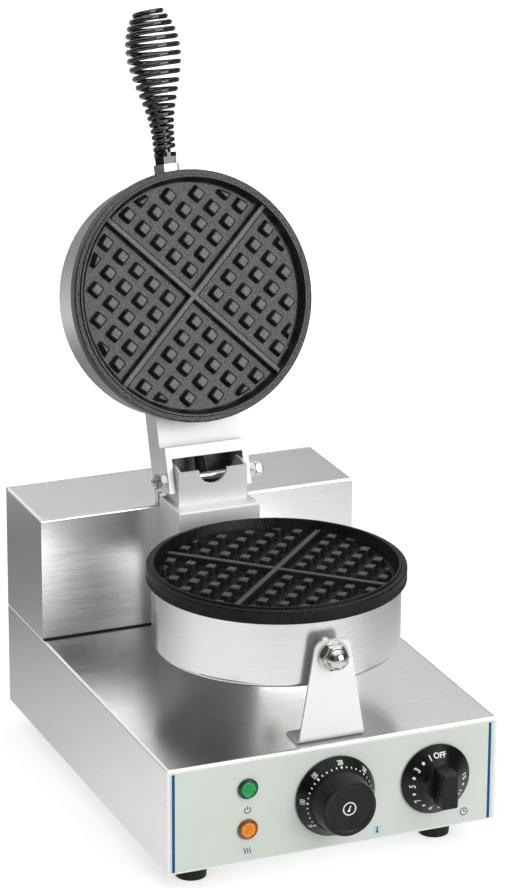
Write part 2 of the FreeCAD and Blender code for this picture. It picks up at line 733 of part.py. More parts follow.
def pan_conduit():
    """A threaded tube from the drum into the post, which carries the pan's back and its wires."""
    in_drum = f"{DRUM_BACK} - sheet - conduit_nut_height - 4"
    ends = (in_drum, f"{POST_FRONT} + sheet + conduit_nut_height + 2")
    tube = rod("conduit_radius", "0", ends, STUD_LEVEL)
    piece("pan_conduit", cut(tube, rod("conduit_bore", "0", ends, STUD_LEVEL)))
    inside = f"({DRUM_BACK} - sheet - 2 * {NUT_SEAT})"
    seats = [
        (f"{inside} - conduit_nut_height", inside),
        (DRUM_BACK, f"{DRUM_BACK} + conduit_nut_height"),
        (f"{POST_FRONT} - conduit_nut_height", POST_FRONT),
        (f"{POST_FRONT} + sheet", f"{POST_FRONT} + sheet + conduit_nut_height"),
    ]
    nuts = []
    for nut_ends in seats:
        nut = hexagon("conduit_nut_width", "0", nut_ends, STUD_LEVEL)
        nuts.append(cut(nut, rod("conduit_radius + fit_clearance", "0", nut_ends, STUD_LEVEL)))
    piece("pan_conduit_nuts", *nuts)


# The two pans, each laid out about the middle of its own rim, with its mouth up
PIN_X = mirrored("(heater_ring * sin(heater_gap / 2 * 1 deg) - heater_pin_radius / 2)")
PIN_Y = "(heater_ring * cos(heater_gap / 2 * 1 deg))"
SADDLE_MIDDLE = "-((arm_web_setback + arm_back_setback) / 2)"
SADDLE_X = mirrored("arm_screw_offset")
SADDLE_INSIDE = "(drum_radius + seat_gap)"


def drum(depth):
    """A deep-drawn steel pot that stands under the rim of its plate."""
    wall = "drum_radius - sheet"
    pot = turned(
        [
            ("0", f"-({depth})"),
            ("drum_radius", f"-({depth})"),
            ("drum_radius", "-skirt_height"),
            (wall, "-skirt_height"),
            (wall, f"-({depth}) + sheet"),
            ("0", f"-({depth}) + sheet"),
        ]
    )
    rounded(pot, "drum_bend + sheet", lambda edge: rim_at(edge, "drum_radius", f"-({depth})"))
    rounded(pot, "drum_bend", lambda edge: rim_at(edge, wall, f"-({depth}) + sheet"))
    bottom = (f"-({depth}) - {OVERSHOOT}", f"-({depth}) + sheet + {OVERSHOOT}")
    return cut(pot, through("plate_stud_radius", "0", "0", bottom))


def rim_at(edge, radius, level):
    """True for the round edge of that radius at that height."""
    round_edge = hasattr(edge.Curve, "Radius") and abs(edge.Curve.Radius - number(radius)) < 1e-4
    return round_edge and abs(edge.Curve.Center.z - number(level)) < 1e-4


def frustum(base, top, height, sink, centre, turn):
    """A four-sided peg with sloping flanks, sunk a little into the field below it."""
    slope = (base[0] - top[0]) / height, (base[1] - top[1]) / height
    foot = base[0] + slope[0] * sink, base[1] + slope[1] * sink
    rings = []
    for (long, wide), level in ((foot, -sink), (top, height)):
        corners = [(-long, -wide), (long, -wide), (long, wide), (-long, wide)]
        points = [FreeCAD.Vector(x / 2, y / 2, level) for x, y in corners]
        rings.append(Part.makePolygon(points + points[:1]))
    peg = Part.makeLoft(rings, True, True)
    peg.Placement = FreeCAD.Placement(centre, FreeCAD.Rotation(Z_AXIS, turn))
    return peg


def grid(field):
    """The pegs of the four quarters, trimmed clear of the wall, and the dividers between them."""
    height, sink = number("peg_height"), number("plate_floor") / 4
    first, pitch, margin = number("peg_first"), number("peg_pitch"), number("peg_margin")
    base, top = number("peg_base"), number("peg_top")
    trim = number(FIELD_RADIUS) - margin
    slope = (base - top) / 2 / height
    under, over = trim + slope * sink, trim - slope * height
    trimmer = Part.makeCone(under, over, height + sink, FreeCAD.Vector(0, 0, field - sink))
    steps = [first + pitch * step for step in range(int(trim / pitch) + 1)]
    solids = []
    for quarter in range(4):
        turn = FreeCAD.Rotation(Z_AXIS, 45 + 90 * quarter)
        for x, y in [(x, y) for x in steps for y in steps if math.hypot(x, y) < trim]:
            centre = turn.multVec(FreeCAD.Vector(x, y, 0)) + FreeCAD.Vector(0, 0, field)
            peg = frustum((base, base), (top, top), height, sink, centre, 45)
            corner = math.hypot(x, y) + base * math.sqrt(0.5)
            solids.append(peg.common(trimmer) if corner > over else peg)
    print("pegs on each plate:", len(solids))
    length = 2 * number(RIDGE_INNER)
    divider_sizes = [(length, number(name)) for name in ("divider_base", "divider_top")]
    for turn in (45, 135):
        solids.append(frustum(*divider_sizes, height, sink, FreeCAD.Vector(0, 0, field), turn))
    return solids


def waffle_plate(cavity_depth):
    """A cast plate: skirted rim, raised ridge, sloping wall and the grid on its field."""
    under = "drum_radius - sheet - 3 * seat_gap"
    field = f"(ridge_height - {cavity_depth})"
    casting = turned(
        [
            ("0", PLATE_UNDER),
            (under, PLATE_UNDER),
            (under, "-skirt_height"),
            ("rim_radius", "-skirt_height"),
            ("rim_radius", "0"),
            (RIDGE_OUTER, "0"),
            (RIDGE_OUTER, "ridge_height"),
            (RIDGE_INNER, "ridge_height"),
            (FIELD_RADIUS, field),
            ("0", field),
        ]
    )
    doc.recompute()
    plate = doc.addObject("Part::Feature", "waffle_plate")
    plate.Shape = casting.Shape.fuse(grid(number(field))).removeSplitter()
    return plate


def heater():
    """A tubular element bent to a ring, with two terminal pins at its gap."""
    level = f"{PLATE_UNDER} - heater_tube - seat_gap"
    ring = doc.addObject("Part::Torus", "ring")
    ring.setExpression("Radius1", ref("heater_ring"))
    ring.setExpression("Radius2", ref("heater_tube"))
    ring.setExpression("Angle3", ref("360 - heater_gap"))
    ring.Placement.Rotation = FreeCAD.Rotation(Z_AXIS, 90 + number("heater_gap") / 2)
    place(ring, "0", "0", level)
    pins = [rod("heater_pin_radius", x, PIN_Y, (f"{CLAMP_TOP} - sheet - 12", level)) for x in PIN_X]
    return fuse(ring, *pins)


def clamp_plate():
    ends = (f"{CLAMP_TOP} - heavy_sheet", CLAMP_TOP)
    drill = (f"{CLAMP_TOP} - heavy_sheet - {OVERSHOOT}", f"{CLAMP_TOP} + {OVERSHOOT}")
    disc = rod("clamp_radius", "0", "0", ends)
    drills = [through("heater_pin_radius + 1", x, PIN_Y, drill) for x in PIN_X]
    return cut(disc, through("plate_stud_radius", "0", "0", drill), *drills)


def plate_stud(depth):
    return rod("plate_stud_radius", "0", "0", (f"-({depth}) - plate_nut_height - 2", PLATE_UNDER))


def plate_nuts(depth):
    """One nut against the clamp plate and one outside the drum."""
    nuts = []
    for top in (f"{CLAMP_TOP} - heavy_sheet", f"-({depth})"):
        ends = (f"{top} - plate_nut_height", top)
        nut = hexagon("plate_nut_width", "0", "0", ends)
        nuts.append(cut(nut, rod("plate_stud_radius + fit_clearance", "0", "0", ends)))
    return nuts


def pans():
    element, clamp = heater(), clamp_plate()
    lower = FreeCAD.Placement(FreeCAD.Vector(0, number(PAN_Y), number(RIM)), FreeCAD.Rotation())
    flip = FreeCAD.Rotation(Y_AXIS, 180)
    upper = FreeCAD.Placement(FreeCAD.Vector(0, number(PAN_Y), number(LID_RIM)), flip)
    stud_level = "-stud_drop"
    front = (f"-drum_radius - {OVERSHOOT}", "-drum_radius / 2")
    back = ("drum_radius / 2", f"drum_radius + {OVERSHOOT}")
    lower_holes = [through("stud_radius", "0", front, stud_level)]
    lower_holes += [through("conduit_radius", "0", back, stud_level)]
    upper_holes = [through("handle_stud_radius", "0", front, "-handle_setback")]
    upper_holes += [through("screw_radius", x, back, SADDLE_MIDDLE) for x in SADDLE_X]
    upper_holes += [rod("lead_radius + grommet_wall", "0", back, SADDLE_MIDDLE)]
    for name, depth, at, holes, turn in (
        ("lower", "pan_depth", lower, lower_holes, "lower_plate_turn"),
        ("upper", "lid_depth", upper, upper_holes, "-upper_plate_turn"),
    ):
        lid = name == "upper"
        piece(f"{name}_drum", cut(drum(depth), *holes), at=at, lid=lid)
        # Each plate sits turned a little on its stud
        on_stud = FreeCAD.Placement(FreeCAD.Vector(), FreeCAD.Rotation(Z_AXIS, number(turn)))
        piece(f"{name}_plate", waffle_plate(f"{name}_cavity_depth"), at=at.multiply(on_stud), lid=lid)
        piece(f"{name}_heater", element, at=at, lid=lid)
        piece(f"{name}_clamp_plate", clamp, at=at, lid=lid)
        piece(f"{name}_plate_stud", plate_stud(depth), at=at, lid=lid)
        piece(f"{name}_plate_nuts", *plate_nuts(depth), at=at, lid=lid)
    bulb_level = f"{PLATE_UNDER} - bulb_radius - seat_gap"
    piece("thermostat_bulb", rod("bulb_radius", mid("bulb_length"), "bulb_offset", bulb_level), at=lower)


# Lid arm, laid out with the lid shut
def lid_arm():
    """A folded channel: web, stepped frame with a window, two flanges with heels, and a saddle."""
    web = f"({LID_RIM} + arm_web_setback)"
    frame = f"({LID_RIM} + arm_frame_setback)"
    back = f"({LID_RIM} + arm_back_setback)"
    start = f"({PAN_Y} + drum_radius / 2)"
    ledge = f"({PAN_Y} + arm_ledge_reach)"
    end = f"({PAN_Y} + arm_end_reach)"
    heel_front = f"({TOWER_FRONT} + heel_setback)"
    heel_level = f"({TOWER_TOP} + heel_gap)"
    back_slope = "tan(lid_lean * 1 deg)"
    lean = "lid_lean * 1 deg"
    # The arm's back edge in the open pose: how far it lies behind the hinge, square to itself
    back_offset = f"({back} - {HINGE_LEVEL})"
    heel_drop = f"({heel_level} - {HINGE_LEVEL})"
    heel_back = f"{HINGE_Y} + {back_offset} / cos({lean}) + {heel_drop} * {back_slope}"
    flange_outline = [
        (start, web),
        (ledge, web),
        (ledge, frame),
        (end, frame),
        closed(heel_front, f"{POST_TOP} + 2 * heel_setback"),
        closed(heel_front, heel_level),
        closed(heel_back, heel_level),
        (start, back),
    ]
    flanges = []
    for x in ("-arm_width / 2", "arm_width / 2 - arm_sheet"):
        flanges.append(place(pad("YZ_Plane", flange_outline, "arm_sheet"), x, "0", "0"))
    inside = "arm_width / 2 - arm_sheet"
    parts = [
        box(mid("arm_width"), (start, f"{ledge} + arm_sheet"), (web, f"{web} + arm_sheet")),
        box(mid("arm_width"), (ledge, f"{ledge} + arm_sheet"), (frame, f"{web} + arm_sheet")),
        box(mid("arm_width"), (ledge, f"{ledge} + arm_strip_width"), (frame, f"{frame} + arm_sheet")),
    ]
    inner, outer = "arm_width / 2 - arm_side_strip", "arm_width / 2"
    for x in ((f"-({outer})", f"-({inner})"), (inner, outer)):
        parts.append(box(x, (ledge, end), (frame, f"{frame} + arm_sheet")))
    saddle_level = about(f"{LID_RIM} - ({SADDLE_MIDDLE})", "saddle_height")
    saddle = cut(
        rod(f"{SADDLE_INSIDE} + arm_sheet", "0", PAN_Y, saddle_level),
        rod(SADDLE_INSIDE, "0", PAN_Y, saddle_level),
    )
    window = doc.addObject("Part::Common", "saddle")
    window.Base = saddle
    window.Tool = box(mid(f"2 * ({inside})"), (PAN_Y, DRUM_BACK + " + arm_sheet + 1"), saddle_level)
    body = rod(SADDLE_INSIDE, "0", PAN_Y, (LID_RIM, f"{back} + {OVERSHOOT}"))
    across = (f"-arm_width / 2 - {OVERSHOOT}", f"arm_width / 2 + {OVERSHOOT}")
    y = (f"{PAN_Y} + drum_radius / 2", f"{DRUM_BACK} + arm_sheet + {OVERSHOOT}")
    level = f"{LID_RIM} - ({SADDLE_MIDDLE})"
    drills = [rod("hinge_bolt_radius + fit_clearance", across, HINGE_Y, HINGE_LEVEL)]
    drills += [through("screw_radius", x, y, level) for x in SADDLE_X]
    drills += [rod("lead_radius + grommet_wall", "0", y, level)]
    arm = fuse(*flanges, *parts, window)
    piece("lid_arm", cut(arm, body, *drills), lid=True)


def arm_back_plate():
    """A plate welded between the arm's flanges, behind its window."""
    back = f"({LID_RIM} + arm_back_setback)"
    ends = (f"({PAN_Y} + arm_ledge_reach)", f"({PAN_Y} + arm_end_reach)")
    width = "(arm_width - 2 * arm_sheet - 2 * seat_gap)"
    piece("arm_back_plate", box(mid(width), ends, (f"{back} - arm_sheet", back)), lid=True)


def arm_screws():
    """Two screws from the channel through the saddle and the drum's wall."""
    level = f"{LID_RIM} - ({SADDLE_MIDDLE})"
    seat = f"({DRUM_BACK} + arm_sheet + 2 * seat_gap)"
    level_screws("arm_screws", [(x, level) for x in SADDLE_X], seat, front=False, lid=True)


def lid_lead():
    """The lid's heater lead, from the post past the hinge bolt and through the arm into the drum."""
    lean = math.radians(number("lid_lean"))
    up = FreeCAD.Vector(0, math.sin(lean), math.cos(lean))
    level = f"{LID_RIM} - ({SADDLE_MIDDLE})"
    shut = FreeCAD.Vector(0, number(DRUM_BACK), number(level))
    entry = open_pose().multVec(shut)
    foot = FreeCAD.Vector(0, number(LEAD_Y), number(POST_TOP))
    route = [foot - Z_AXIS * 14, foot + Z_AXIS * 16, entry - up * 16, entry + up * 14]
    lead = doc.addObject("Part::Feature", "lead")
    lead.Shape = tube(route, number("lead_radius"))
    piece("lid_lead", lead)


def grommets():
    inner, outer = "lead_radius + fit_clearance", "lead_radius + grommet_wall - fit_clearance"
    flange = "lead_radius + grommet_wall + 1.5"
    top = f"({POST_TOP} + heavy_sheet)"
    sleeve = rod(outer, "0", LEAD_Y, (f"{POST_TOP} - sheet", f"{top} + 2"))
    collar = rod(flange, "0", LEAD_Y, (top, f"{top} + 2"))
    bore = rod(inner, "0", LEAD_Y, (f"{POST_TOP} - sheet - {OVERSHOOT}", f"{top} + 2 + {OVERSHOOT}"))
    piece("post_grommet", cut(fuse(sleeve, collar), bore))
    level = f"{LID_RIM} - ({SADDLE_MIDDLE})"
    seat = f"({DRUM_BACK} + arm_sheet + 2 * seat_gap)"
    sleeve = rod(outer, "0", (f"{DRUM_BACK} - sheet", f"{seat} + 2"), level)
    collar = rod(flange, "0", (seat, f"{seat} + 2"), level)
    bore = rod(inner, "0", (f"{DRUM_BACK} - 2 * sheet", f"{seat} + 2 + {OVERSHOOT}"), level)
    piece("drum_grommet", cut(fuse(sleeve, collar), bore), lid=True)


def tube(route, radius):
    """A round tube on straight runs, joined by arcs that start clear of the grommets."""
    edges, start = [], route[0]
    for before, corner, after in zip(route, route[1:], route[2:]):
        arriving, leaving = (corner - before), (after - corner)
        turn = arriving.getAngle(leaving)
        setback = 0.38 * min(arriving.Length, leaving.Length)
        print("bend radius of the lid lead:", round(setback / math.tan(turn / 2), 1))
        first = corner - arriving.normalize() * setback
        last = corner + leaving.normalize() * setback
        chord_middle = (first + last) * 0.5
        to_corner = corner - chord_middle
        sagitta = (first - chord_middle).Length * math.tan(turn / 4)
        edges.append(Part.LineSegment(start, first).toShape())
        middle = chord_middle + to_corner.normalize() * sagitta
        edges.append(Part.Arc(first, middle, last).toShape())
        start = last
    edges.append(Part.LineSegment(start, route[-1]).toShape())
    return sweep(edges, radius)


def sweep(edges, radius):
    """A solid tube along a chain of edges, with its volume held against its length."""
    path = Part.Wire(edges)
    direction = edges[0].tangentAt(edges[0].FirstParameter)
    ring = Part.Wire([Part.makeCircle(radius, edges[0].valueAt(edges[0].FirstParameter), direction)])
    solid = path.makePipeShell([ring], True, False)
    expected = math.pi * radius**2 * path.Length
    print("tube volume over section times length:", round(solid.Volume / expected, 4))
    return solid


# Spring handle
def biarc(start, start_way, end, end_way):
    """Two arcs that leave one point and reach another along given directions."""
    chord, ways = end - start, start_way + end_way
    spread = 2 * (1 - start_way.dot(end_way))
    along_ways = chord.dot(ways)
    reach = (-along_ways + math.sqrt(along_ways**2 + spread * chord.dot(chord))) / spread
    joint = (start + start_way * reach + end - end_way * reach) * 0.5
    arcs = []
    for first, last, corner in (
        (start, joint, start + start_way * reach),
        (joint, end, end - end_way * reach),
    ):
        chord_middle = (first + last) * 0.5
        half = (last - first).Length / 2
        to_corner = corner - chord_middle
        sagitta = half * math.tan(math.acos(half / reach) / 2)
        arcs.append(Part.Arc(first, chord_middle + to_corner.normalize() * sagitta, last).toShape())
    return arcs


def coil_radius(turn, turns):
    """Centreline radius: a slender neck that swells to a belly and closes in to the tip."""
    peak = 0.7 * turns
    neck, belly, tip = (number(name) / 2 for name in ("coil_neck", "coil_belly", "coil_tip"))
    if turn < peak:
        outside = neck + (belly - neck) * math.sin(math.pi / 2 * (turn / peak) ** 1.5) ** 2
    else:
        outside = belly - (belly - tip) * ((turn - peak) / (turns - peak)) ** 2
    return outside - number("wire_diameter") / 2


def coil_points(per_turn):
    """Points and directions along the wire, closer wound at both ends than at the belly."""
    turns, pitch = number("coil_turns"), number("coil_pitch")
    end_angle = math.radians(number("coil_end_angle"))
    count = round(turns * per_turn)
    last = count / per_turn
    waves = [math.cos(2 * math.pi * (step / count) ** 1.3) for step in range(count + 1)]
    rise = [pitch * (1 - 0.2 * wave) for wave in waves]
    points, ways, level = [], [], 0.0
    for step in range(count + 1):
        turn = step / per_turn
        angle = end_angle - 2 * math.pi * (count - step) / per_turn
        radius = coil_radius(turn, last)
        swell = 0
        if 0 < step < count:
            swell = (coil_radius(turn + 0.01, last) - coil_radius(turn - 0.01, last)) / 0.02
        outward = FreeCAD.Vector(math.cos(angle), math.sin(angle), 0)
        around = FreeCAD.Vector(-math.sin(angle), math.cos(angle), 0)
        way = around * (2 * math.pi * radius) + outward * swell + Z_AXIS * rise[step]
        points.append(outward * radius + Z_AXIS * level)
        ways.append(way.normalize())
        level += rise[step] / per_turn
    return points, ways


def least_gap(path, wire):
    """The smallest clear space between turns, measured on points along the path."""
    points = path.discretize(Distance=wire / 4)
    apart = [
        (first - second).Length
        for index, first in enumerate(points)
        for second in points[index + 12:]
        if abs(first.z - second.z) < 3 * wire
    ]
    return min(apart) - wire


def handle_coil():
    """One wire: up out of the shank, round all the turns, and a straight cut end."""
    wire = number("wire_diameter")
    points, ways = coil_points(4)
    way = FreeCAD.Vector(ways[0].x, ways[0].y, 0).normalize()
    foot = points[0] - way * RUN_OF_BEND - Z_AXIS * RUN_OF_BEND
    edges = [Part.LineSegment(foot - Z_AXIS * wire, foot).toShape()]
    edges += biarc(foot, Z_AXIS, points[0], ways[0])
    for index in range(len(points) - 1):
        edges += biarc(points[index], ways[index], points[index + 1], ways[index + 1])
    edges.append(Part.LineSegment(points[-1], points[-1] + ways[-1] * wire).toShape())
    print("tightest bend of the handle wire:", round(min(e.Curve.Radius for e in edges[1:-1]), 2))
    print("least gap between turns:", round(least_gap(Part.Wire(edges), wire), 2))
    coil = doc.addObject("Part::Feature", "coil")
    coil.Shape = sweep(edges, wire / 2)
    return coil, foot - Z_AXIS * wire


def handle():
    """A collar on the drum's wall, a black shank with a spigot, and the coil wound over it."""
    root = FreeCAD.Vector(0, number(DRUM_FRONT) - number("seat_gap"), number(HANDLE_LEVEL))
    at = FreeCAD.Placement(root, FACING_FRONT)
    collar_ends = ("0", "collar_height")
    bore = "handle_stud_radius + fit_clearance"
    collar = cut(hexagon("collar_width", "0", "0", collar_ends), rod(bore, "0", "0", collar_ends))
    piece("handle_collar", collar, at=at, lid=True)
    flange = "(collar_height + shank_height)"
    top = f"({flange} + shank_flange_height)"
    groove_floor = f"({top} - tail_sink)"
    coil, tail = handle_coil()
    shank = fuse(
        hexagon("shank_width", "0", "0", ("collar_height", flange)),
        rod("shank_flange_radius", "0", "0", (flange, top)),
        rod("(coil_neck / 2 - wire_diameter - 3 * seat_gap)", "0", "0", (top, f"{top} + 3 * coil_pitch")),
        rod("handle_stud_radius", "0", "0", (f"-sheet - {SHORT_STUD}", "collar_height")),
    )
    groove_ends = (groove_floor, f"{top} + {OVERSHOOT}")
    groove = rod("wire_diameter / 2 + 10 * seat_gap", str(tail.x), str(tail.y), groove_ends)
    piece("handle_shank", cut(shank, groove), at=at, lid=True)
    nut_top = f"-sheet - {NUT_SEAT} - seat_gap"
    nut_ends = (f"{nut_top} - foot_nut_height", nut_top)
    nut = hexagon("plate_nut_width", "0", "0", nut_ends)
    piece("handle_inner_nut", cut(nut, rod(bore, "0", "0", nut_ends)), at=at, lid=True)
    lift = FreeCAD.Vector(0, 0, number(groove_floor) - tail.z + number("seat_gap"))
    piece("handle_coil", coil, at=at.multiply(FreeCAD.Placement(lift, FreeCAD.Rotation())), lid=True)


# Controls and what is behind the panel
KNOB_BACK = "(film_thickness + knob_gap)"
BODY_FRONT = "(sheet + 2)"


def spindle(label, x, body_front, knob_back):
    ends = (f"-(spindle_seat + {knob_back})", body_front)
    piece(label, rod("spindle_radius", x, ends, KNOB_LEVEL))


def knob_place(x):
    spot = FreeCAD.Vector(number(x), -number(KNOB_BACK), number(KNOB_LEVEL))
    return FreeCAD.Placement(spot, FACING_FRONT)


def knob_seat():
    """The blind hole in a knob that takes the end of its spindle."""
    ends = (f"-{OVERSHOOT}", "spindle_seat + fit_clearance")
    return rod("spindle_radius + fit_clearance", "0", "0", ends)


def thermostat_knob():
    """A sloping skirt for the scale and a round cap with a slightly dished face."""
    top = "thermostat_cap_height"
    dish = f"{top} - dish_depth"
    edge = "thermostat_cap_radius - 1.5"
    cap = turned(
        [
            ("0", "0"),
            ("thermostat_skirt_radius", "0"),
            ("thermostat_skirt_radius", "skirt_edge"),
            ("thermostat_cap_radius + 3", "thermostat_skirt_height"),
            ("thermostat_cap_radius + 2", "thermostat_skirt_height"),
            ("thermostat_cap_radius", f"{top} - 1.5"),
            (edge, top),
            ("thermostat_cap_radius - dish_margin", top),
            ("thermostat_cap_radius - dish_margin - 1", dish),
            ("0", dish),
        ]
    )
    piece("thermostat_knob", cut(cap, knob_seat()), at=knob_place("0"))


def timer_knob():
    """A sloping skirt, a round hub and an upright wing to turn it by."""
    hub = turned(
        [
            ("0", "0"),
            ("timer_skirt_radius", "0"),
            ("timer_skirt_radius", "skirt_edge"),
            ("timer_hub_radius + 2.5", "timer_skirt_height"),
            ("timer_hub_radius", "timer_hub_height - 1"),
            ("timer_hub_radius - 1", "timer_hub_height"),
            ("0", "timer_hub_height"),
        ]
    )
    level = ("skirt_edge / 2", "timer_wing_height")
    wing = block(mid("timer_wing_width"), mid("timer_wing_length"), level)
    wing = rounded(wing, "timer_wing_width / 4", top_edge)
    piece("timer_knob", cut(fuse(hub, wing), knob_seat()), at=knob_place("timer_offset"))


def switch_body(label, x, width, depth):
    """A switch behind the panel: a case and a bush that fills the panel's hole and guides the spindle."""
    front = "sheet"
    case = box(about(x, width), (front, f"{front} + {depth}"), about(KNOB_LEVEL, width))
    bush = rod("spindle_radius + 2", x, ("-film_thickness", front), KNOB_LEVEL)
    bore_ends = (f"-{OVERSHOOT}", f"{BODY_FRONT} + fit_clearance")
    bore = rod("spindle_radius + fit_clearance", x, bore_ends, KNOB_LEVEL)
    piece(label, cut(fuse(case, bush), bore))


def lamps():
    """Two neon lamps: a bevelled lens with a stem through the panel, and a holder screwed on behind."""
    holders = []
    face = "-film_thickness"
    stem_end = "lamp_holder_length / 2"
    for label, level in zip(("power_lamp_lens", "heat_lamp_lens"), LAMP_LEVELS):
        cap = turned(
            [
                ("0", "0"),
                ("lamp_radius", "0"),
                ("lamp_radius", "lamp_rim_height"),
                ("lamp_face_radius", "lamp_face_height"),
                ("0", "lamp_face_height"),
            ]
        )
        cap.Placement.Rotation = FACING_FRONT
        place(cap, "-lamp_offset", face, level)
        piece(label, fuse(cap, rod("lamp_stem_radius", "-lamp_offset", (face, stem_end), level)))
        ends = ("sheet", "lamp_holder_length")
        sleeve = hexagon("2 * lamp_radius", "-lamp_offset", ends, level)
        bore_ends = ("0", f"{stem_end} + seat_gap")
        bore = rod("lamp_stem_radius + fit_clearance", "-lamp_offset", bore_ends, level)
        holders.append(cut(sleeve, bore))
    piece("lamp_holders", *holders)


def terminal_block():
    spot = f"({WIRE_HOLE_Y} - base_depth / 10)"
    level = (FLOOR_TOP, f"{FLOOR_TOP} + block_height")
    case = box(about(GLAND[0], "block_width"), about(spot, "block_depth"), level)
    top = (f"{FLOOR_TOP} + block_height / 2", f"{FLOOR_TOP} + block_height + {OVERSHOOT}")
    wells = []
    for step in (-1, 0, 1):
        wells.append(rod("block_width / 12", f"{GLAND[0]} + block_width * {step} / 3.4", spot, top))
    piece("terminal_block", cut(case, *wells))


def cable_gland():
    """A bushing through the back wall for the mains lead, with its lock nut inside."""
    x, z = GLAND
    inside = "(base_depth - sheet)"
    outer_end = "base_depth + gland_length"
    stem = rod("gland_radius", x, (f"{inside} - gland_length / 2", "base_depth"), z)
    collar = hexagon("gland_nut_width", x, ("base_depth", "base_depth + gland_length * 0.4"), z)
    dome = cone("gland_radius + 2", "gland_radius", x, ("base_depth + gland_length * 0.4", outer_end), z)
    bore = rod("gland_bore", x, (f"{inside} - gland_length", f"{outer_end} + {OVERSHOOT}"), z)
    piece("cable_gland", cut(fuse(stem, collar, dome), bore))
    nut_ends = (f"{inside} - gland_length / 4", inside)
    nut = hexagon("gland_nut_width", x, nut_ends, z)
    piece("cable_gland_nut", cut(nut, rod("gland_radius + fit_clearance", x, nut_ends, z)))


def open_pose():
    """The turn that takes the shut lid to the open pose, about the hinge bolt."""
    pivot = FreeCAD.Vector(0, number(HINGE_Y), number(HINGE_LEVEL))
    turn = FreeCAD.Rotation(X_AXIS, -(90 + number("lid_lean")))
    return FreeCAD.Placement(FreeCAD.Vector(), turn, pivot)


def frame_screws():
    """The screws under the tower's foot and those on the hinge bracket are alike and share one node."""
    under_tower = upright_screws(TOWER_SCREWS, f"({BASE_TOP} - sheet)", up=False)
    on_bracket = upright_screws(HINGE_BRACKET_SCREWS, f"({POST_TOP} + heavy_sheet)", up=True)
    piece("frame_screws", *under_tower, *on_bracket)


def build():
    base_cover()
    base_bottom_plate()
    feet()
    piece("bottom_plate_screws", *upright_screws(FLOOR_SCREWS, "foot_height", up=False))
    front_panel_film()
    tower_cover()
    tower_back_plate()
    level_screws("back_plate_screws", BACK_SCREWS, "base_depth", front=False)
    hinge_post()
    level_screws("post_rivets", POST_RIVETS, f"({TOWER_FRONT} - sheet)", front=True)
    hinge_bracket()
    frame_screws()
    hinge_bolt()
    front_bracket()
    piece("front_bracket_screws", *upright_screws(BRACKET_SCREWS, f"({BASE_TOP} + heavy_sheet)", up=True))
    pan_stud()
    pan_conduit()
    pans()
    lid_arm()
    arm_back_plate()
    arm_screws()
    lid_lead()
    grommets()
    handle()
    switch_body("thermostat_body", "0", "thermostat_width", "thermostat_depth")
    switch_body("timer_body", "timer_offset", "timer_width", "timer_depth")
    spindle("thermostat_spindle", "0", BODY_FRONT, KNOB_BACK)
    spindle("timer_spindle", "timer_offset", BODY_FRONT, KNOB_BACK)
    thermostat_knob()
    timer_knob()
    lamps()
    terminal_block()
    cable_gland()


def settle():
    """Opens the lid and sets the origin at the middle of the whole object's box, on the floor."""
    opened = open_pose()
    for part, at in fixed_pieces:
        part.Placement = at
    for part, at in lid_pieces:
        part.Placement = opened.multiply(at)
    doc.recompute()
    whole = FreeCAD.BoundBox()
    for part, _ in fixed_pieces + lid_pieces:
        whole.add(part.Shape.optimalBoundingBox())
    to_floor = FreeCAD.Vector(-whole.Center.x, -whole.Center.y, -whole.ZMin)
    shift = FreeCAD.Placement(to_floor, FreeCAD.Rotation())
    for part, _ in fixed_pieces + lid_pieces:
        part.Placement = shift.multiply(part.Placement)
    doc.recompute()
    return shift.Base, whole


def check():
    """Stops if any object failed or any sub-part is empty or unsound."""
    for item in doc.Objects:
        if "Invalid" in item.State or "Error" in item.State:
            raise RuntimeError(f"{item.Name} failed: {item.State}")
    for part, _ in fixed_pieces + lid_pieces:
        if part.Shape.isNull() or not part.Shape.isValid() or not part.Shape.Solids:
            raise RuntimeError(f"{part.Label} has no sound solid")


def report(shift, whole):
    """Prints the places that a record of the joints and mounts needs, in the final frame."""
    print("whole size:", [round(side, 2) for side in (whole.XLength, whole.YLength, whole.ZLength)])
    spots = {
        "hinge": ("0", HINGE_Y, HINGE_LEVEL),
        "thermostat": ("0", f"-{KNOB_BACK}", KNOB_LEVEL),
        "timer": ("timer_offset", f"-{KNOB_BACK}", KNOB_LEVEL),
        "foot": (FOOT_SPOTS[0][0], FOOT_SPOTS[0][1], "0"),
        "gland": (GLAND[0], "base_depth", GLAND[1]),
        "rim": ("0", PAN_Y, RIM),
        "base front": ("0", "0", "foot_height"),
    }
    for name, spot in spots.items():
        print(name, [round(number(text) + move, 3) for text, move in zip(spot, shift)])


def export():
    os.makedirs("parts", exist_ok=True)
    for part, _ in fixed_pieces + lid_pieces:
        part.Shape.exportStep(f"parts/{part.Label}.step")
    print("sub-parts:", len(fixed_pieces) + len(lid_pieces))


build()
doc.recompute()
shift, whole = settle()
check()
report(shift, whole)
export()
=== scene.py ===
# %% [markdown]
# # A single waffle maker
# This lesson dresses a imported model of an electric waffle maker: a folded steel base with two dials,
# a round lower pan, and a lid that swings up on a bolt at the back. The model comes in as a fixed frame.
# Each cell adds one piece or one finish, and says why it is made that way.

# %% Load the frame
import json
import math

import bpy
import numpy as np
from mathutils import Matrix, Vector


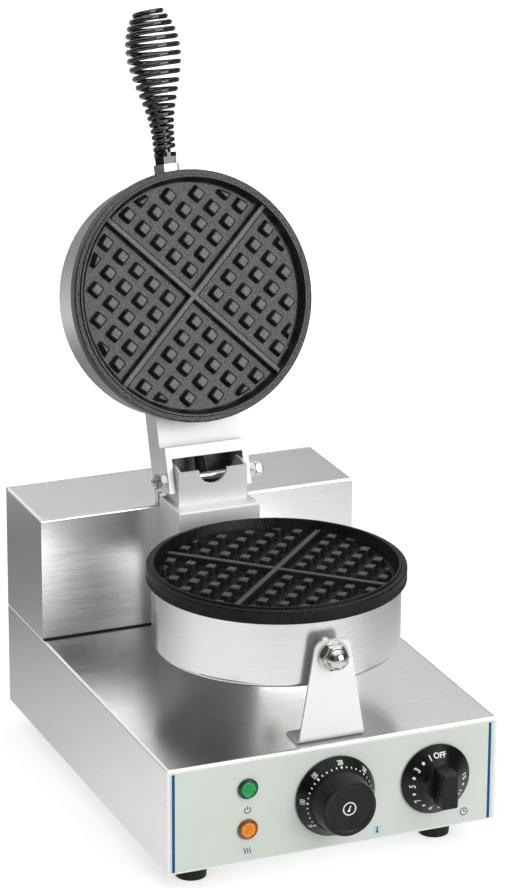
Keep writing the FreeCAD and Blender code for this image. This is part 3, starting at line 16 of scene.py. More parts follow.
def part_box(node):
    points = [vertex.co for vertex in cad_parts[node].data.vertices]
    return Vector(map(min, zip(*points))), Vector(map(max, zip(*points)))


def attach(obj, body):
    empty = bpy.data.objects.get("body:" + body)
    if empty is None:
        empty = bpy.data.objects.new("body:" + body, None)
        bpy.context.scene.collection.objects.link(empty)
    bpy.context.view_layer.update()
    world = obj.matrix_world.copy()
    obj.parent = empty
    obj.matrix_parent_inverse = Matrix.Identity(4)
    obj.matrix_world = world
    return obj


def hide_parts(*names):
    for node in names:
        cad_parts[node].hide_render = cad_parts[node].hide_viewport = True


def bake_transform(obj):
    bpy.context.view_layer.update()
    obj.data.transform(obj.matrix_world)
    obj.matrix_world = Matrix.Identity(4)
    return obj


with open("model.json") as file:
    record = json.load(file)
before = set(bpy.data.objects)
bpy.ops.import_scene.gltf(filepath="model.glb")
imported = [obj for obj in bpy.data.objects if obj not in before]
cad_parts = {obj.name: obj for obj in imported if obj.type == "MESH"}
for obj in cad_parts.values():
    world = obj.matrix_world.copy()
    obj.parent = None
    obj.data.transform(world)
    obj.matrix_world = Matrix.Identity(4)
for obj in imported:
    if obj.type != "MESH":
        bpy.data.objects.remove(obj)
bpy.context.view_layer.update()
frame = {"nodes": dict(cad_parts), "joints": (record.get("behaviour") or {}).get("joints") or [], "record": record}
nodes = frame["nodes"]
MM = 0.001

# %% [markdown]
# ## The camera
# The photograph was taken with a long lens, from the left and a little above. A long lens keeps upright
# edges nearly parallel, so the camera stands far back. Its place is worked out from the base's front edge,
# which is the easiest edge to find again in the picture.

# %% Camera
IMAGE_HEIGHT = 888
FOCAL_PIXELS = 3677.0
VIEW_AZIMUTH = math.radians(-22.66)
VIEW_ELEVATION = math.radians(19.21)
VIEW_ROLL = math.radians(0.26)
VIEW_DISTANCE = 2.62688
base_low = np.array(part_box("base_cover")[0])
base_front = np.array([0.0, base_low[1], base_low[2]])
LOOK_OFFSET = np.array([-0.2, 150.0, 250.3])
look_at = base_front + LOOK_OFFSET * MM


def camera_axes():
    """Right, up and back: back points from the target to the lens, and roll turns the other two."""
    level = math.cos(VIEW_ELEVATION)
    across, along = math.sin(VIEW_AZIMUTH), -math.cos(VIEW_AZIMUTH)
    back = np.array([across * level, along * level, math.sin(VIEW_ELEVATION)])
    right = np.cross(-back, [0.0, 0.0, 1.0])
    right /= np.linalg.norm(right)
    up = np.cross(back, right)
    turn, side = math.cos(VIEW_ROLL), math.sin(VIEW_ROLL)
    return turn * right + side * up, turn * up - side * right, back


lens = bpy.data.cameras.new("camera")
lens.sensor_width = 36
lens.lens = FOCAL_PIXELS * lens.sensor_width / IMAGE_HEIGHT
lens.clip_end = 50
camera = bpy.data.objects.new("camera", lens)
bpy.context.scene.collection.objects.link(camera)
right, up, back = camera_axes()
pose = np.eye(4)
pose[:3, :3] = np.stack([right, up, back], axis=1)
pose[:3, 3] = look_at + back * VIEW_DISTANCE
camera.matrix_world = Matrix(pose.tolist())
bpy.context.scene.camera = camera
bpy.context.scene.view_settings.view_transform = "Standard"
print("camera at", pose[:3, 3].round(3))

# %% [markdown]
# ## Meshes from arrays
# Every new piece is a surface worked out as a whole array of points. A grid of points has rows and columns,
# and its faces follow from the counts alone, so no loop runs over single vertices.
# A piece can be several such shells, joined into one mesh.

# %% Shells


def grid_faces(rows, columns):
    """Quads between neighbouring rows of a grid, with the last column joined to the first."""
    index = np.arange(rows * columns).reshape(rows, columns)
    index = np.concatenate([index, index[:, :1]], axis=1)
    quads = np.stack([index[:-1, :-1], index[:-1, 1:], index[1:, 1:], index[1:, :-1]], axis=-1)
    return quads.reshape(-1, 4)


def tube_shell(rings):
    """A closed shell through rings of points, an array of rings by points by 3, with a fan over each end."""
    count, around, _ = rings.shape
    points = np.concatenate([rings.reshape(-1, 3), rings[:1].mean(axis=1), rings[-1:].mean(axis=1)])
    near = np.arange(around)
    far = near + (count - 1) * around
    first = np.stack([np.full(around, count * around), np.roll(near, -1), near], axis=-1)
    last = np.stack([np.full(around, count * around + 1), far, np.roll(far, -1)], axis=-1)
    return points, grid_faces(count, around).tolist() + first.tolist() + last.tolist()


def ring_shell(rings):
    """A shell whose last ring of points joins its first, as on a washer or a nut with a hole."""
    count, around, _ = rings.shape
    faces = grid_faces(count + 1, around) % (count * around)
    return rings.reshape(-1, 3), faces.tolist()


def joined(shells):
    """One set of points and one list of faces from several shells."""
    starts = np.cumsum([0] + [len(points) for points, _ in shells])
    faces = []
    for start, (_, part) in zip(starts.tolist(), shells):
        faces += [[corner + start for corner in face] for face in part]
    return np.concatenate([points for points, _ in shells]), faces


def moved(shell, place):
    """The shell with every point carried by a 4 by 4 matrix."""
    points, faces = shell
    return points @ place[:3, :3].T + place[:3, 3], faces


def turn_about(axis, degrees):
    """A 4 by 4 matrix that turns about one axis."""
    return np.array(Matrix.Rotation(math.radians(degrees), 4, axis))


def shift(x, y, z):
    """A 4 by 4 matrix that moves by x, y and z."""
    place = np.eye(4)
    place[:3, 3] = x, y, z
    return place


# %% Pieces


def piece(name, shell, body, material, stands_for=(), sharp=40):
    """A mesh in metres from a shell in millimetres, riding on a body. Edges past the angle stay sharp."""
    points, faces = shell
    mesh = bpy.data.meshes.new(name)
    mesh.from_pydata((points * MM).tolist(), [], faces)
    mesh.polygons.foreach_set("use_smooth", np.ones(len(mesh.polygons), bool))
    mesh.set_sharp_from_angle(angle=math.radians(sharp))
    mesh.materials.append(material)
    mesh.update()
    made = bpy.data.objects.new(name, mesh)
    bpy.context.scene.collection.objects.link(made)
    if body:
        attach(made, body)
    if stands_for:
        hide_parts(*stands_for)
    print(name, "faces:", len(faces))
    return made


def node_box(name):
    """A node's low and high corners in millimetres."""
    return tuple(np.array(corner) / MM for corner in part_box(name))


# %% [markdown]
# ## Profiles with rounded corners
# Cast and moulded parts have no knife edges. A profile is given by its corners and a radius for each,
# and every corner becomes a short arc. Turned about an axis, carried along a bar or stacked up in layers,
# it gives the part's skin.

# %% Profiles
NEAR_AXIS = 0.02


def rounded_profile(corners, steps=5):
    """Points along a line of (across, up, radius) corners, each replaced by an arc of that radius."""
    spots = np.array([corner[:2] for corner in corners], float)
    line = [spots[:1]]
    for before, spot, after, (_, _, radius) in zip(spots, spots[1:], spots[2:], corners[1:-1]):
        arriving = (spot - before) / np.linalg.norm(spot - before)
        leaving = (after - spot) / np.linalg.norm(after - spot)
        turn = math.acos(np.clip(arriving @ leaving, -1, 1))
        if radius == 0 or turn < 1e-3:
            line.append(spot[None])
            continue
        setback = radius * math.tan(turn / 2)
        share = np.linspace(0, 1, steps)[:, None]
        start, end = spot - arriving * setback, spot + leaving * setback
        inward = (leaving - arriving) / np.linalg.norm(leaving - arriving)
        centre = spot + inward * radius / math.cos(turn / 2)
        swing = (start - centre) * np.sin((1 - share) * turn) + (end - centre) * np.sin(share * turn)
        line.append(centre + swing / math.sin(turn))
    line.append(spots[-1:])
    return np.concatenate(line)


def turned_rings(profile, around=128):
    """Rings of points from a profile of (radius, height) points turned about z."""
    angle = np.linspace(0, 2 * np.pi, around, endpoint=False)
    circle = np.stack([np.cos(angle), np.sin(angle)], axis=-1)
    flat = profile[:, None, :1] * circle[None]
    height = np.broadcast_to(profile[:, None, 1:], flat.shape[:2] + (1,))
    return np.concatenate([flat, height], axis=-1)


def rounded_rectangle(half_x, half_y, corner, per_corner=5, per_side=3):
    """Points round a rectangle of those half widths: arcs at its corners, a few points on each side."""
    angle = np.linspace(0, np.pi / 2, per_corner)
    arc = np.stack([np.cos(angle), np.sin(angle)], axis=-1) * corner + [half_x - corner, half_y - corner]
    share = np.linspace(1, -1, per_side + 2)[1:-1]
    top = np.stack([share * (half_x - corner), np.full(per_side, half_y)], axis=-1)
    side = np.stack([np.full(per_side, -half_x), share * (half_y - corner)], axis=-1)
    half = np.concatenate([arc, top, (arc * [-1, 1])[::-1], side])
    return np.concatenate([half, -half])


def stacked(outlines, heights):
    """Rings of points: each outline of (x, y) points is lifted to its own height."""
    outlines = np.array(outlines)
    lifted = np.broadcast_to(np.reshape(heights, (-1, 1, 1)), (*outlines.shape[:2], 1))
    return np.concatenate([outlines, lifted], axis=-1)


def bar(section, start, end):
    """A closed section of (y, z) points carried straight along x."""
    rings = np.empty((2, len(section), 3))
    rings[..., 0] = np.array([[start], [end]])
    rings[..., 1:] = section
    return tube_shell(rings)


# %% [markdown]
# ## Shared surface effects
# Three effects come back on many parts: the fine parallel lines of brushed sheet, the grain of a sprayed
# coating, and faint handling marks that change the gloss. Each is a node group, built once.
# A group is a small network with named inputs and outputs, so each material sets its own scale.

# %% Node helpers


def new_group(name, inputs, outputs):
    """A node group with its input and output nodes; inputs are (label, value) and outputs are labels."""
    group = bpy.data.node_groups.new(name, "ShaderNodeTree")
    for label, value in inputs:
        made = group.interface.new_socket(name=label, in_out="INPUT", socket_type="NodeSocketFloat")
        made.default_value = value
    for label in outputs:
        group.interface.new_socket(name=label, in_out="OUTPUT", socket_type="NodeSocketFloat")
    return group, group.nodes.new("NodeGroupInput"), group.nodes.new("NodeGroupOutput")


def add(tree, kind, inputs, **settings):
    """A node of that kind, with its settings and, by socket name or number, its input values or links."""
    node = tree.nodes.new(f"ShaderNode{kind}")
    for name, value in settings.items():
        setattr(node, name, value)
    for name, value in inputs.items():
        if isinstance(value, bpy.types.NodeSocket):
            tree.links.new(value, node.inputs[name])
        else:
            node.inputs[name].default_value = value
    return node


def maths(tree, operation, *values):
    """The result of one Math node."""
    return add(tree, "Math", dict(enumerate(values)), operation=operation).outputs[0]


def stretch(tree, value, low, high, new_low=0.0, new_high=1.0):
    """Maps low to high onto a new range, held at its ends."""
    return add(tree, "MapRange", dict(enumerate([value, low, high, new_low, new_high]))).outputs[0]


# %% [markdown]
# ### Brushed lines
# A sheet is brushed along its length before it is folded, and a drum is brushed round its axis.
# So on upright faces the noise changes fast up and down, and on flat faces from front to back.
# The lid leans when it is open, so its finish first turns the point and the normal back upright.

# %% Brushed lines


def streaks(tree, place, flat, fine, long):
    """Noise that is squeezed across the lines and drawn out along them."""
    across_y = add(tree, "Mix", {0: flat, 2: long, 3: fine}).outputs[0]
    across_z = add(tree, "Mix", {0: flat, 2: fine, 3: long}).outputs[0]
    scale = add(tree, "CombineXYZ", {0: long, 1: across_y, 2: across_z}).outputs[0]
    spot = add(tree, "VectorMath", {0: place, 1: scale}, operation="MULTIPLY").outputs[0]
    noise = add(tree, "TexNoise", {"Vector": spot, "Scale": 1.0, "Detail": 2.0, "Roughness": 0.55})
    return stretch(tree, noise.outputs["Fac"], 0.28, 0.72)


def brushed_group():
    """Fine streaks for the grain, and broad ones for the bands that a brushing belt leaves."""
    sockets = [("Tilt", 0.0), ("Fine", 2400.0), ("Broad", 420.0)]
    group, source, result = new_group("brushed lines", sockets, ["Grain", "Bands"])
    point = add(group, "TexCoord", {})
    turned = []
    for output in ("Object", "Normal"):
        inputs = {"Vector": point.outputs[output], "Angle": source.outputs["Tilt"]}
        turned.append(add(group, "VectorRotate", inputs, rotation_type="X_AXIS").outputs[0])
    facing = add(group, "SeparateXYZ", {0: turned[1]}).outputs[2]
    flat = maths(group, "GREATER_THAN", maths(group, "ABSOLUTE", facing), 0.7)
    group.links.new(streaks(group, turned[0], flat, source.outputs["Fine"], 16.0), result.inputs["Grain"])
    group.links.new(streaks(group, turned[0], flat, source.outputs["Broad"], 5.0), result.inputs["Bands"])
    return group


brushed = brushed_group()
print("group:", brushed.name)

# %% [markdown]
# ### Coating and handling marks
# A sprayed non-stick coat dries into tiny rounded grains over slow patches of tone. Moulded plastic has
# the same two scales, only shallower. Handling marks are broad smears that make the gloss uneven.

# %% Coating


def coating_group():
    """Two noises: small grains, and slow patches."""
    group, source, result = new_group("coating", [("Grains", 1500.0), ("Patches", 30.0)], ["Grain", "Patch"])
    place = add(group, "TexCoord", {}).outputs["Object"]
    for size, label, detail in (("Grains", "Grain", 2.0), ("Patches", "Patch", 3.0)):
        noise = add(group, "TexNoise", {"Vector": place, "Scale": source.outputs[size], "Detail": detail})
        group.links.new(stretch(group, noise.outputs["Fac"], 0.33, 0.67), result.inputs[label])
    return group


coating = coating_group()

# %% Handling marks


def marks_group():
    """Broad soft smears, broken up by finer noise."""
    group, source, result = new_group("handling marks", [("Size", 18.0)], ["Smear"])
    place = add(group, "TexCoord", {}).outputs["Object"]
    inputs = {"Vector": place, "Scale": source.outputs["Size"], "Detail": 5.0}
    noise = add(group, "TexNoise", {**inputs, "Roughness": 0.6, "Distortion": 0.6}).outputs["Fac"]
    group.links.new(stretch(group, noise, 0.42, 0.68), result.inputs["Smear"])
    return group


marks = marks_group()
print("groups:", coating.name, "and", marks.name)

# %% [markdown]
# ## Materials
# Each finish is a Principled shader. Values that are the same all over are typed on the shader itself,
# and only what changes over the surface is linked: colour, roughness and the height that feeds a bump.

# %% Material helpers


def new_material(name, colour, roughness, metallic=0.0):
    """A material with one Principled shader, given with its node tree for more work."""
    material = bpy.data.materials.new(name)
    material.use_nodes = True
    tree = material.node_tree
    shader = tree.nodes["Principled BSDF"]
    shader.inputs["Base Color"].default_value = (*colour, 1)
    shader.inputs["Roughness"].default_value = roughness
    shader.inputs["Metallic"].default_value = metallic
    return material, tree, shader


def use_group(tree, group, **values):
    """The outputs of a node that runs a group with those values."""
    node = tree.nodes.new("ShaderNodeGroup")
    node.node_tree = group
    for label, value in values.items():
        node.inputs[label].default_value = value
    return node.outputs


def tint(tree, shader, mask, dark, light):
    """Base colour that runs from dark to light with a mask."""
    mix = add(tree, "Mix", {0: mask, 6: (*dark, 1), 7: (*light, 1)}, data_type="RGBA")
    tree.links.new(mix.outputs[2], shader.inputs["Base Color"])


def gloss(tree, shader, mask, low, high):
    """Roughness that runs from low to high with a mask."""
    tree.links.new(stretch(tree, mask, 0, 1, low, high), shader.inputs["Roughness"])


def relief(tree, shader, height, depth):
    """A bump of that depth in metres."""
    bump = add(tree, "Bump", {"Height": height, "Distance": depth})
    tree.links.new(bump.outputs[0], shader.inputs["Normal"])


def blend_of(tree, first, second, share):
    """That share of the second mask, and the rest of the first."""
    rest = maths(tree, "MULTIPLY", first, 1 - share)
    return maths(tree, "ADD", rest, maths(tree, "MULTIPLY", second, share))


# %% [markdown]
# ### Steel
# Brushed stainless steel is mirror-like along its lines and blurred across them. The grain is a bump
# rather than a picture, so highlights stretch across the lines as they do on the real sheet.

# %% Steel
LID_TILT = math.radians(108)


def brushed_steel(name, dark, light, smooth, rough, tilt, depth):
    """Stainless sheet with a directional grain, and handling marks in its gloss."""
    material, tree, shader = new_material(name, light, smooth, metallic=1.0)
    lines = use_group(tree, brushed, Tilt=tilt)
    smear = use_group(tree, marks, Size=11.0)["Smear"]
    grain = blend_of(tree, lines["Grain"], lines["Bands"], 0.35)
    tint(tree, shader, grain, dark, light)
    gloss(tree, shader, blend_of(tree, grain, smear, 0.4), smooth, rough)
    relief(tree, shader, lines["Grain"], depth)
    return material


SHEET_TONES = (0.66, 0.66, 0.655), (0.74, 0.74, 0.735)
# Painted light: the hinge steel's tones are brighter than the sheet's, standing in for the light that the hinge
# plate, post and bracket catch. The lid's copy is a little darker, painted shade that keeps its web from glaring
# under the front lamp.
HINGE_LIT_TONES = (0.84, 0.84, 0.835), (0.90, 0.90, 0.895)
LID_HINGE_DIMMED_TONES = (0.80, 0.80, 0.795), (0.86, 0.86, 0.855)
SHEET_GLOSS, HINGE_GLOSS, LID_HINGE_GLOSS = (0.17, 0.26), (0.62, 0.72), (0.54, 0.64)
SHEET_GRAIN, HINGE_GRAIN = 2e-5, 3e-5
sheet_steel = brushed_steel("sheet steel", *SHEET_TONES, *SHEET_GLOSS, 0.0, SHEET_GRAIN)
lid_sheet_steel = brushed_steel("lid sheet steel", *SHEET_TONES, *SHEET_GLOSS, LID_TILT, SHEET_GRAIN)
hinge_steel = brushed_steel("hinge steel", *HINGE_LIT_TONES, *HINGE_GLOSS, 0.0, HINGE_GRAIN)
lid_hinge_steel = brushed_steel("lid hinge steel", *LID_HINGE_DIMMED_TONES, *LID_HINGE_GLOSS, LID_TILT, HINGE_GRAIN)


def plated_metal(name, dark, light, smooth, rough, size):
    """Plated metal with a slight unevenness of tone and gloss."""
    material, tree, shader = new_material(name, light, smooth, metallic=1.0)
    smear = use_group(tree, marks, Size=size)["Smear"]
    tint(tree, shader, smear, light, dark)
    gloss(tree, shader, smear, smooth, rough)
    return material


plating = plated_metal("zinc plating", (0.56, 0.55, 0.53), (0.70, 0.69, 0.66), 0.2, 0.4, 220.0)
# Painted shade: a near-black steel for the arm's back plate, standing in for the shade inside the lid's arm.
arm_shade_steel = plated_metal("steel painted as shade", (0.05, 0.05, 0.05), (0.12, 0.12, 0.12), 0.4, 0.55, 90.0)
chrome = plated_metal("chrome", (0.42, 0.41, 0.39), (0.56, 0.55, 0.53), 0.12, 0.22, 120.0)
print("steel finishes ready")

# %% [markdown]
# ### Black finishes
# The plates have a dark sprayed coat, the knobs are satin plastic, the handle's wire is dipped in gloss
# paint, and the feet are rubber. They differ in gloss and grain far more than in colour. The same recipe in
# other colours gives the sheath of the heaters and the ceramic of the terminal block.

# %% Coats, plastic and rubber
# The coat is near black. The grey beside it is a painted sheen for the tops of pegs and bars.
COAT_BLACK, PAINTED_TOP_SHEEN_GREY = (0.0015, 0.0015, 0.0016), (0.075, 0.075, 0.077)
CAST_GRAINS = 700.0


def grained_finish(name, colour, low, high, grains, depth, contrast=1.6, index=1.5):
    """One colour with a fine grain in its height, slow patches in its tone and smears in its gloss."""
    material, tree, shader = new_material(name, colour, low)
    shader.inputs["IOR"].default_value = index
    coat = use_group(tree, coating, Grains=grains, Patches=60.0)
    smear = use_group(tree, marks, Size=60.0)["Smear"]
    lighter = tuple(channel * contrast for channel in colour)
    tint(tree, shader, blend_of(tree, coat["Grain"], coat["Patch"], 0.4), colour, lighter)
    gloss(tree, shader, smear, low, high)
    relief(tree, shader, coat["Grain"], depth)
    return material


def plate_coat(name, centre, axis, reach, dull, index):
    """The coat of a waffle plate: black and grained, with the tops of pegs and bars painted a lighter grey, a
    painted sheen of light.

    The painted sheen's mask is 1 within a millimetre of the level of the tops, measured along the plate's axis
    from a centre at that level, and 0 farther from the centre than the pegs reach. Below the tops the coat is
    duller by the given amount.
    """
    material = grained_finish(name, COAT_BLACK, 0.26, 0.34, CAST_GRAINS, 1.8e-4, contrast=9.0, index=index)
    tree = material.node_tree
    shader = tree.nodes["Principled BSDF"]
    place = add(tree, "TexCoord", {}).outputs["Object"]
    offset = add(tree, "VectorMath", {0: place, 1: centre}, operation="SUBTRACT").outputs[0]
    height = add(tree, "VectorMath", {0: offset, 1: axis}, operation="DOT_PRODUCT").outputs[1]
    away = add(tree, "VectorMath", {0: offset}, operation="LENGTH").outputs[1]
    not_below = stretch(tree, height, -1.1e-3, -2e-4)
    not_above = stretch(tree, height, 3e-4, 8e-4, 1, 0)
    level = maths(tree, "MULTIPLY", not_below, not_above)
    within = stretch(tree, away, reach + 5e-4, reach + 1.5e-3, 1, 0)
    # Painted highlight: near the level of the tops, the coat is mixed towards a lighter grey where light falls on
    # them.
    painted_top_sheen = maths(tree, "MULTIPLY", level, within)
    coat = shader.inputs["Base Color"].links[0].from_socket
    mix = add(tree, "Mix", {0: painted_top_sheen, 6: coat, 7: (*PAINTED_TOP_SHEEN_GREY, 1)}, data_type="RGBA")
    tree.links.new(mix.outputs[2], shader.inputs["Base Color"])
    sheen = shader.inputs["Roughness"].links[0].from_socket
    deep = stretch(tree, height, -2.5e-3, -5e-4, dull, 0.0)
    tree.links.new(maths(tree, "ADD", sheen, deep), shader.inputs["Roughness"])
    return material


UNDER_BLACK = 0.004, 0.004, 0.0042
under_coat = grained_finish("cast underside", UNDER_BLACK, 0.4, 0.5, CAST_GRAINS, 8e-5, contrast=4.0)
knob_black = grained_finish("knob black", (0.004, 0.004, 0.0046), 0.24, 0.34, 2600.0, 8e-6, index=1.32)
handle_black = grained_finish("handle black", (0.002, 0.002, 0.002), 0.06, 0.12, 900.0, 6e-6, index=1.9)
rubber = grained_finish("black rubber", (0.006, 0.006, 0.006), 0.5, 0.7, 1600.0, 2e-5, index=1.35)
fitting_black = grained_finish("fitting black", (0.02, 0.02, 0.021), 0.4, 0.55, 1800.0, 1e-5)
heater_sheath = grained_finish("heater sheath", (0.06, 0.055, 0.05), 0.4, 0.6, 900.0, 2e-5)
ceramic = grained_finish("terminal ceramic", (0.34, 0.33, 0.30), 0.4, 0.5, 900.0, 2e-5)
print("coats, plastic and rubber ready")

# %% [markdown]
# ### Panel print and lamps
# The front panel is a printed film with a satin surface. Its inks lie on top as thin pieces of their own.
# Each lamp is a tinted lens: a deep collar, and a bright middle with small moulded facets.

# %% Film, inks and lenses


def printed(name, dark, light, roughness, patches, index=1.5):
    """Ink or film: a slow change of tone and a very fine satin texture."""
    material, tree, shader = new_material(name, light, roughness)
    shader.inputs["IOR"].default_value = index
    coat = use_group(tree, coating, Grains=3000.0, Patches=patches)
    tint(tree, shader, coat["Patch"], dark, light)
    relief(tree, shader, coat["Grain"], 3e-6)
    return material


def lamp_lens(name, deep, bright, glow):
    """Tinted plastic with patches of a deeper tone, and a glow of its own that may be none."""
    material, tree, shader = new_material(name, bright, 0.14)
    patch = use_group(tree, coating, Grains=1200.0, Patches=700.0)["Patch"]
    tint(tree, shader, patch, deep, bright)
    shader.inputs["Emission Color"].default_value = (*bright, 1)
    shader.inputs["Emission Strength"].default_value = glow
    return material


panel_film = printed("panel film", (0.62, 0.68, 0.61), (0.67, 0.72, 0.66), 0.4, 12.0)
blue_ink = printed("blue print", (0.002, 0.07, 0.20), (0.004, 0.09, 0.25), 0.45, 300.0, index=1.25)
pale_blue_ink = printed("pale blue print", (0.48, 0.64, 0.72), (0.54, 0.69, 0.77), 0.45, 300.0)
white_ink = printed("white print", (0.80, 0.80, 0.80), (0.88, 0.88, 0.88), 0.45, 300.0)
green_lens = lamp_lens("green lens", (0.0, 0.14, 0.035), (0.01, 0.44, 0.12), 0.15)
green_collar = lamp_lens("green collar", (0.0, 0.035, 0.01), (0.0, 0.07, 0.02), 0.0)
orange_lens = lamp_lens("orange lens", (0.50, 0.13, 0.003), (0.88, 0.33, 0.02), 0.15)
orange_collar = lamp_lens("orange collar", (0.16, 0.04, 0.002), (0.30, 0.075, 0.004), 0.0)
print("film, inks and lenses ready")

# %% [markdown]
# ## Finishes on the frame's own nodes
# Most nodes already have the right shape. They only need a material, by the slot that the record gives.
# The lid's steel takes the finish whose lines are turned with the lid, and three nodes take one of their own: the
# post and the front bracket take the brighter hinge steel, which is painted light, and the arm's back plate takes
# a near-black steel, which is painted shade.

# %% Dress the nodes
FINISHES = {
    "sheet_steel": sheet_steel,
    "hinge_steel": hinge_steel,
    "plated_fasteners": plating,
    "chromed_nut": chrome,
    "coated_plates": under_coat,
    "heater_sheath": heater_sheath,
    "black_rubber": rubber,
    "panel_film": panel_film,
    "black_knobs": knob_black,
    "handle_black": handle_black,
    "green_lens": green_lens,
    "orange_lens": orange_lens,
    "black_fittings": fitting_black,
    "pale_ceramic": ceramic,
}
LID_FINISHES = {"sheet_steel": lid_sheet_steel, "hinge_steel": lid_hinge_steel}
# The post and the front bracket take the brighter hinge steel, which is painted light. The arm's back plate takes
# a near-black steel, painted shade for the dark inside of the arm.
OWN_FINISHES = {"hinge_post": hinge_steel, "front_bracket": hinge_steel, "arm_back_plate": arm_shade_steel}
on_lid = set(frame["record"]["behaviour"]["bodies"]["lid"])
for part in frame["record"]["subparts"]:
    choices = {**FINISHES, **LID_FINISHES} if part["node"] in on_lid else FINISHES
    mesh = nodes[part["node"]].data
    mesh.materials.clear()
    mesh.materials.append(OWN_FINISHES.get(part["node"], choices[part["material_slot"]]))
print("dressed", len(nodes), "nodes, of which on the lid:", len(on_lid))

# %% [markdown]
# ## Where things are
# The pans and the handle are easiest to shape about their own axes. Their places come from the frame:
# the lower rim from the lower plate's box, and the open lid by turning the shut lid about the hinge.

# %% Places
RIDGE_HEIGHT = 1.5
CLOSING_GAP = 0.4
DRUM_RADIUS = 89.0
lower_low, lower_high = node_box("lower_plate")
pan_y = (lower_low[1] + lower_high[1]) / 2
rim_level = lower_high[2] - RIDGE_HEIGHT
lid_rim = rim_level + 2 * RIDGE_HEIGHT + CLOSING_GAP
hinge = next(np.array(joint["pos_m"]) / MM for joint in frame["joints"] if joint["name"] == "lid_hinge")
open_lid = shift(*hinge) @ turn_about("X", -math.degrees(LID_TILT)) @ shift(*-hinge)
lower_place = shift(0, pan_y, rim_level)
upper_place = open_lid @ shift(0, pan_y, lid_rim) @ turn_about("Y", 180)
facing_front = turn_about("X", 90)
upright = np.array([0, 0, 1])
print("rim at", rim_level.round(2), "hinge at", hinge)

# %% [markdown]
# ## The waffle plates
# A waffle plate is a casting: a round tray with a raised ridge, filled with rows of blunt pegs and divided
# in four by two bars. The pegs give the waffle its pockets. Castings are rounded everywhere, so each peg is
# a stack of rounded squares that flares into the tray, and pegs near the wall are trimmed by a circle.

# %% Tray
RIM_RADIUS, RIM_FLAT, RIDGE_WIDTH = 93.0, 4.0, 1.8
WALL_DRAFT, SKIRT, FLOOR = 2.8, 10.0, 6.0
CAVITY = {"lower": 10.8, "upper": 8.0}
ridge_outer = RIM_RADIUS - RIM_FLAT
ridge_inner = ridge_outer - RIDGE_WIDTH
field_radius = ridge_inner - WALL_DRAFT


def tray(cavity):
    """The tray turned about z: flat underside, skirt, rim, ridge, sloping wall and field."""
    field, under = RIDGE_HEIGHT - cavity, RIDGE_HEIGHT - CAVITY["lower"] - FLOOR
    inside_drum = DRUM_RADIUS - 1.3
    corners = [
        (NEAR_AXIS, under, 0),
        (inside_drum, under, 0.5),
        (inside_drum, -SKIRT, 0.2),
        (RIM_RADIUS, -SKIRT, 0.6),
        (RIM_RADIUS, 0, 1.0),
        (ridge_outer, 0, 0.3),
        (ridge_outer, RIDGE_HEIGHT, 0.5),
        (ridge_inner, RIDGE_HEIGHT, 0.6),
        (field_radius, field, 2.0),
        (NEAR_AXIS, field, 0),
    ]
    return tube_shell(turned_rings(rounded_profile(corners), around=160))


# %% Pegs and dividing bars
PEG_FIRST, PEG_PITCH, PEG_HEIGHT = 13.45, 15.65, 5.8
PEG_BASE, PEG_TOP, PEG_MARGIN = 9.9, 6.3, 2.5
BAR_BASE, BAR_TOP = 6.6, 3.6
FLARE, WALL_SINK = 1.2, 0.2
peg_reach = field_radius - PEG_MARGIN


def peg_rings(field):
    """A peg about its own axis: its profile's half widths and heights, with a rounded square at each."""
    half_base, half_top = PEG_BASE / 2, PEG_TOP / 2
    corners = [
        (half_base + FLARE, -0.05, 0),
        (half_base, 0, 0.8),
        (half_top, PEG_HEIGHT, 0.7),
        (half_top - 1.4, PEG_HEIGHT, 0),
    ]
    profile = rounded_profile(corners, steps=4)
    softness = np.minimum(profile[:, 0], 1.0 + 0.25 * (profile[:, 0] - half_top))
    squares = [rounded_rectangle(half, half, soft) for half, soft in zip(profile[:, 0], softness)]
    return stacked(squares, profile[:, 1] + field), profile[:, 0] - half_base


def pegs(field):
    """Rows of pegs in each quarter, trimmed by a circle that follows the pegs' slope."""
    rings, growth = peg_rings(field)
    steps = PEG_FIRST + PEG_PITCH * np.arange(int(peg_reach / PEG_PITCH) + 1)
    across, along = (axis.ravel() for axis in np.meshgrid(steps, steps, indexing="ij"))
    centres = np.stack([across, along], axis=-1)[np.hypot(across, along) < peg_reach]
    shells = []
    for quarter in range(4):
        swing = turn_about("Z", 45 + 90 * quarter)[:2, :2]
        placed = np.repeat(rings[None], len(centres), axis=0)
        placed[..., :2] = (placed[..., :2] + centres[:, None, None, :]) @ swing.T
        reach = (peg_reach + growth)[None, :, None] / np.hypot(placed[..., 0], placed[..., 1])
        placed[..., :2] *= np.minimum(1.0, reach)[..., None]
        shells += [tube_shell(peg) for peg in placed]
    return shells


def dividing_bar(field, angle, inner, lower):
    """A bar with a rounded trapezium section, carried from its inner end to the wall."""
    half_base, half_top, height = BAR_BASE / 2, BAR_TOP / 2, PEG_HEIGHT - lower
    corners = [(half_base + FLARE, -0.05, 0), (half_base, 0, 1.0), (half_top, height, 0.6), (0, height, 0)]
    profile = rounded_profile(corners, steps=4)
    section = np.concatenate([profile, profile[-2::-1] * [-1, 1]])
    return moved(bar(section + [0, field], inner, ridge_inner - WALL_SINK), turn_about("Z", angle))


# %% Both plates
PLATE_TURN = {"lower": 0.8, "upper": -1.15}
# Painted light and shade: both plates have one coat, made as two copies. The upper copy has a higher index, so it
# shines brighter where light falls on the lid. The lower copy has a lower index and duller hollows, so it stays
# darker.
LIT_AND_SHADED_SHEEN = {"lower": (0.3, 1.28), "upper": (0.0, 1.66)}


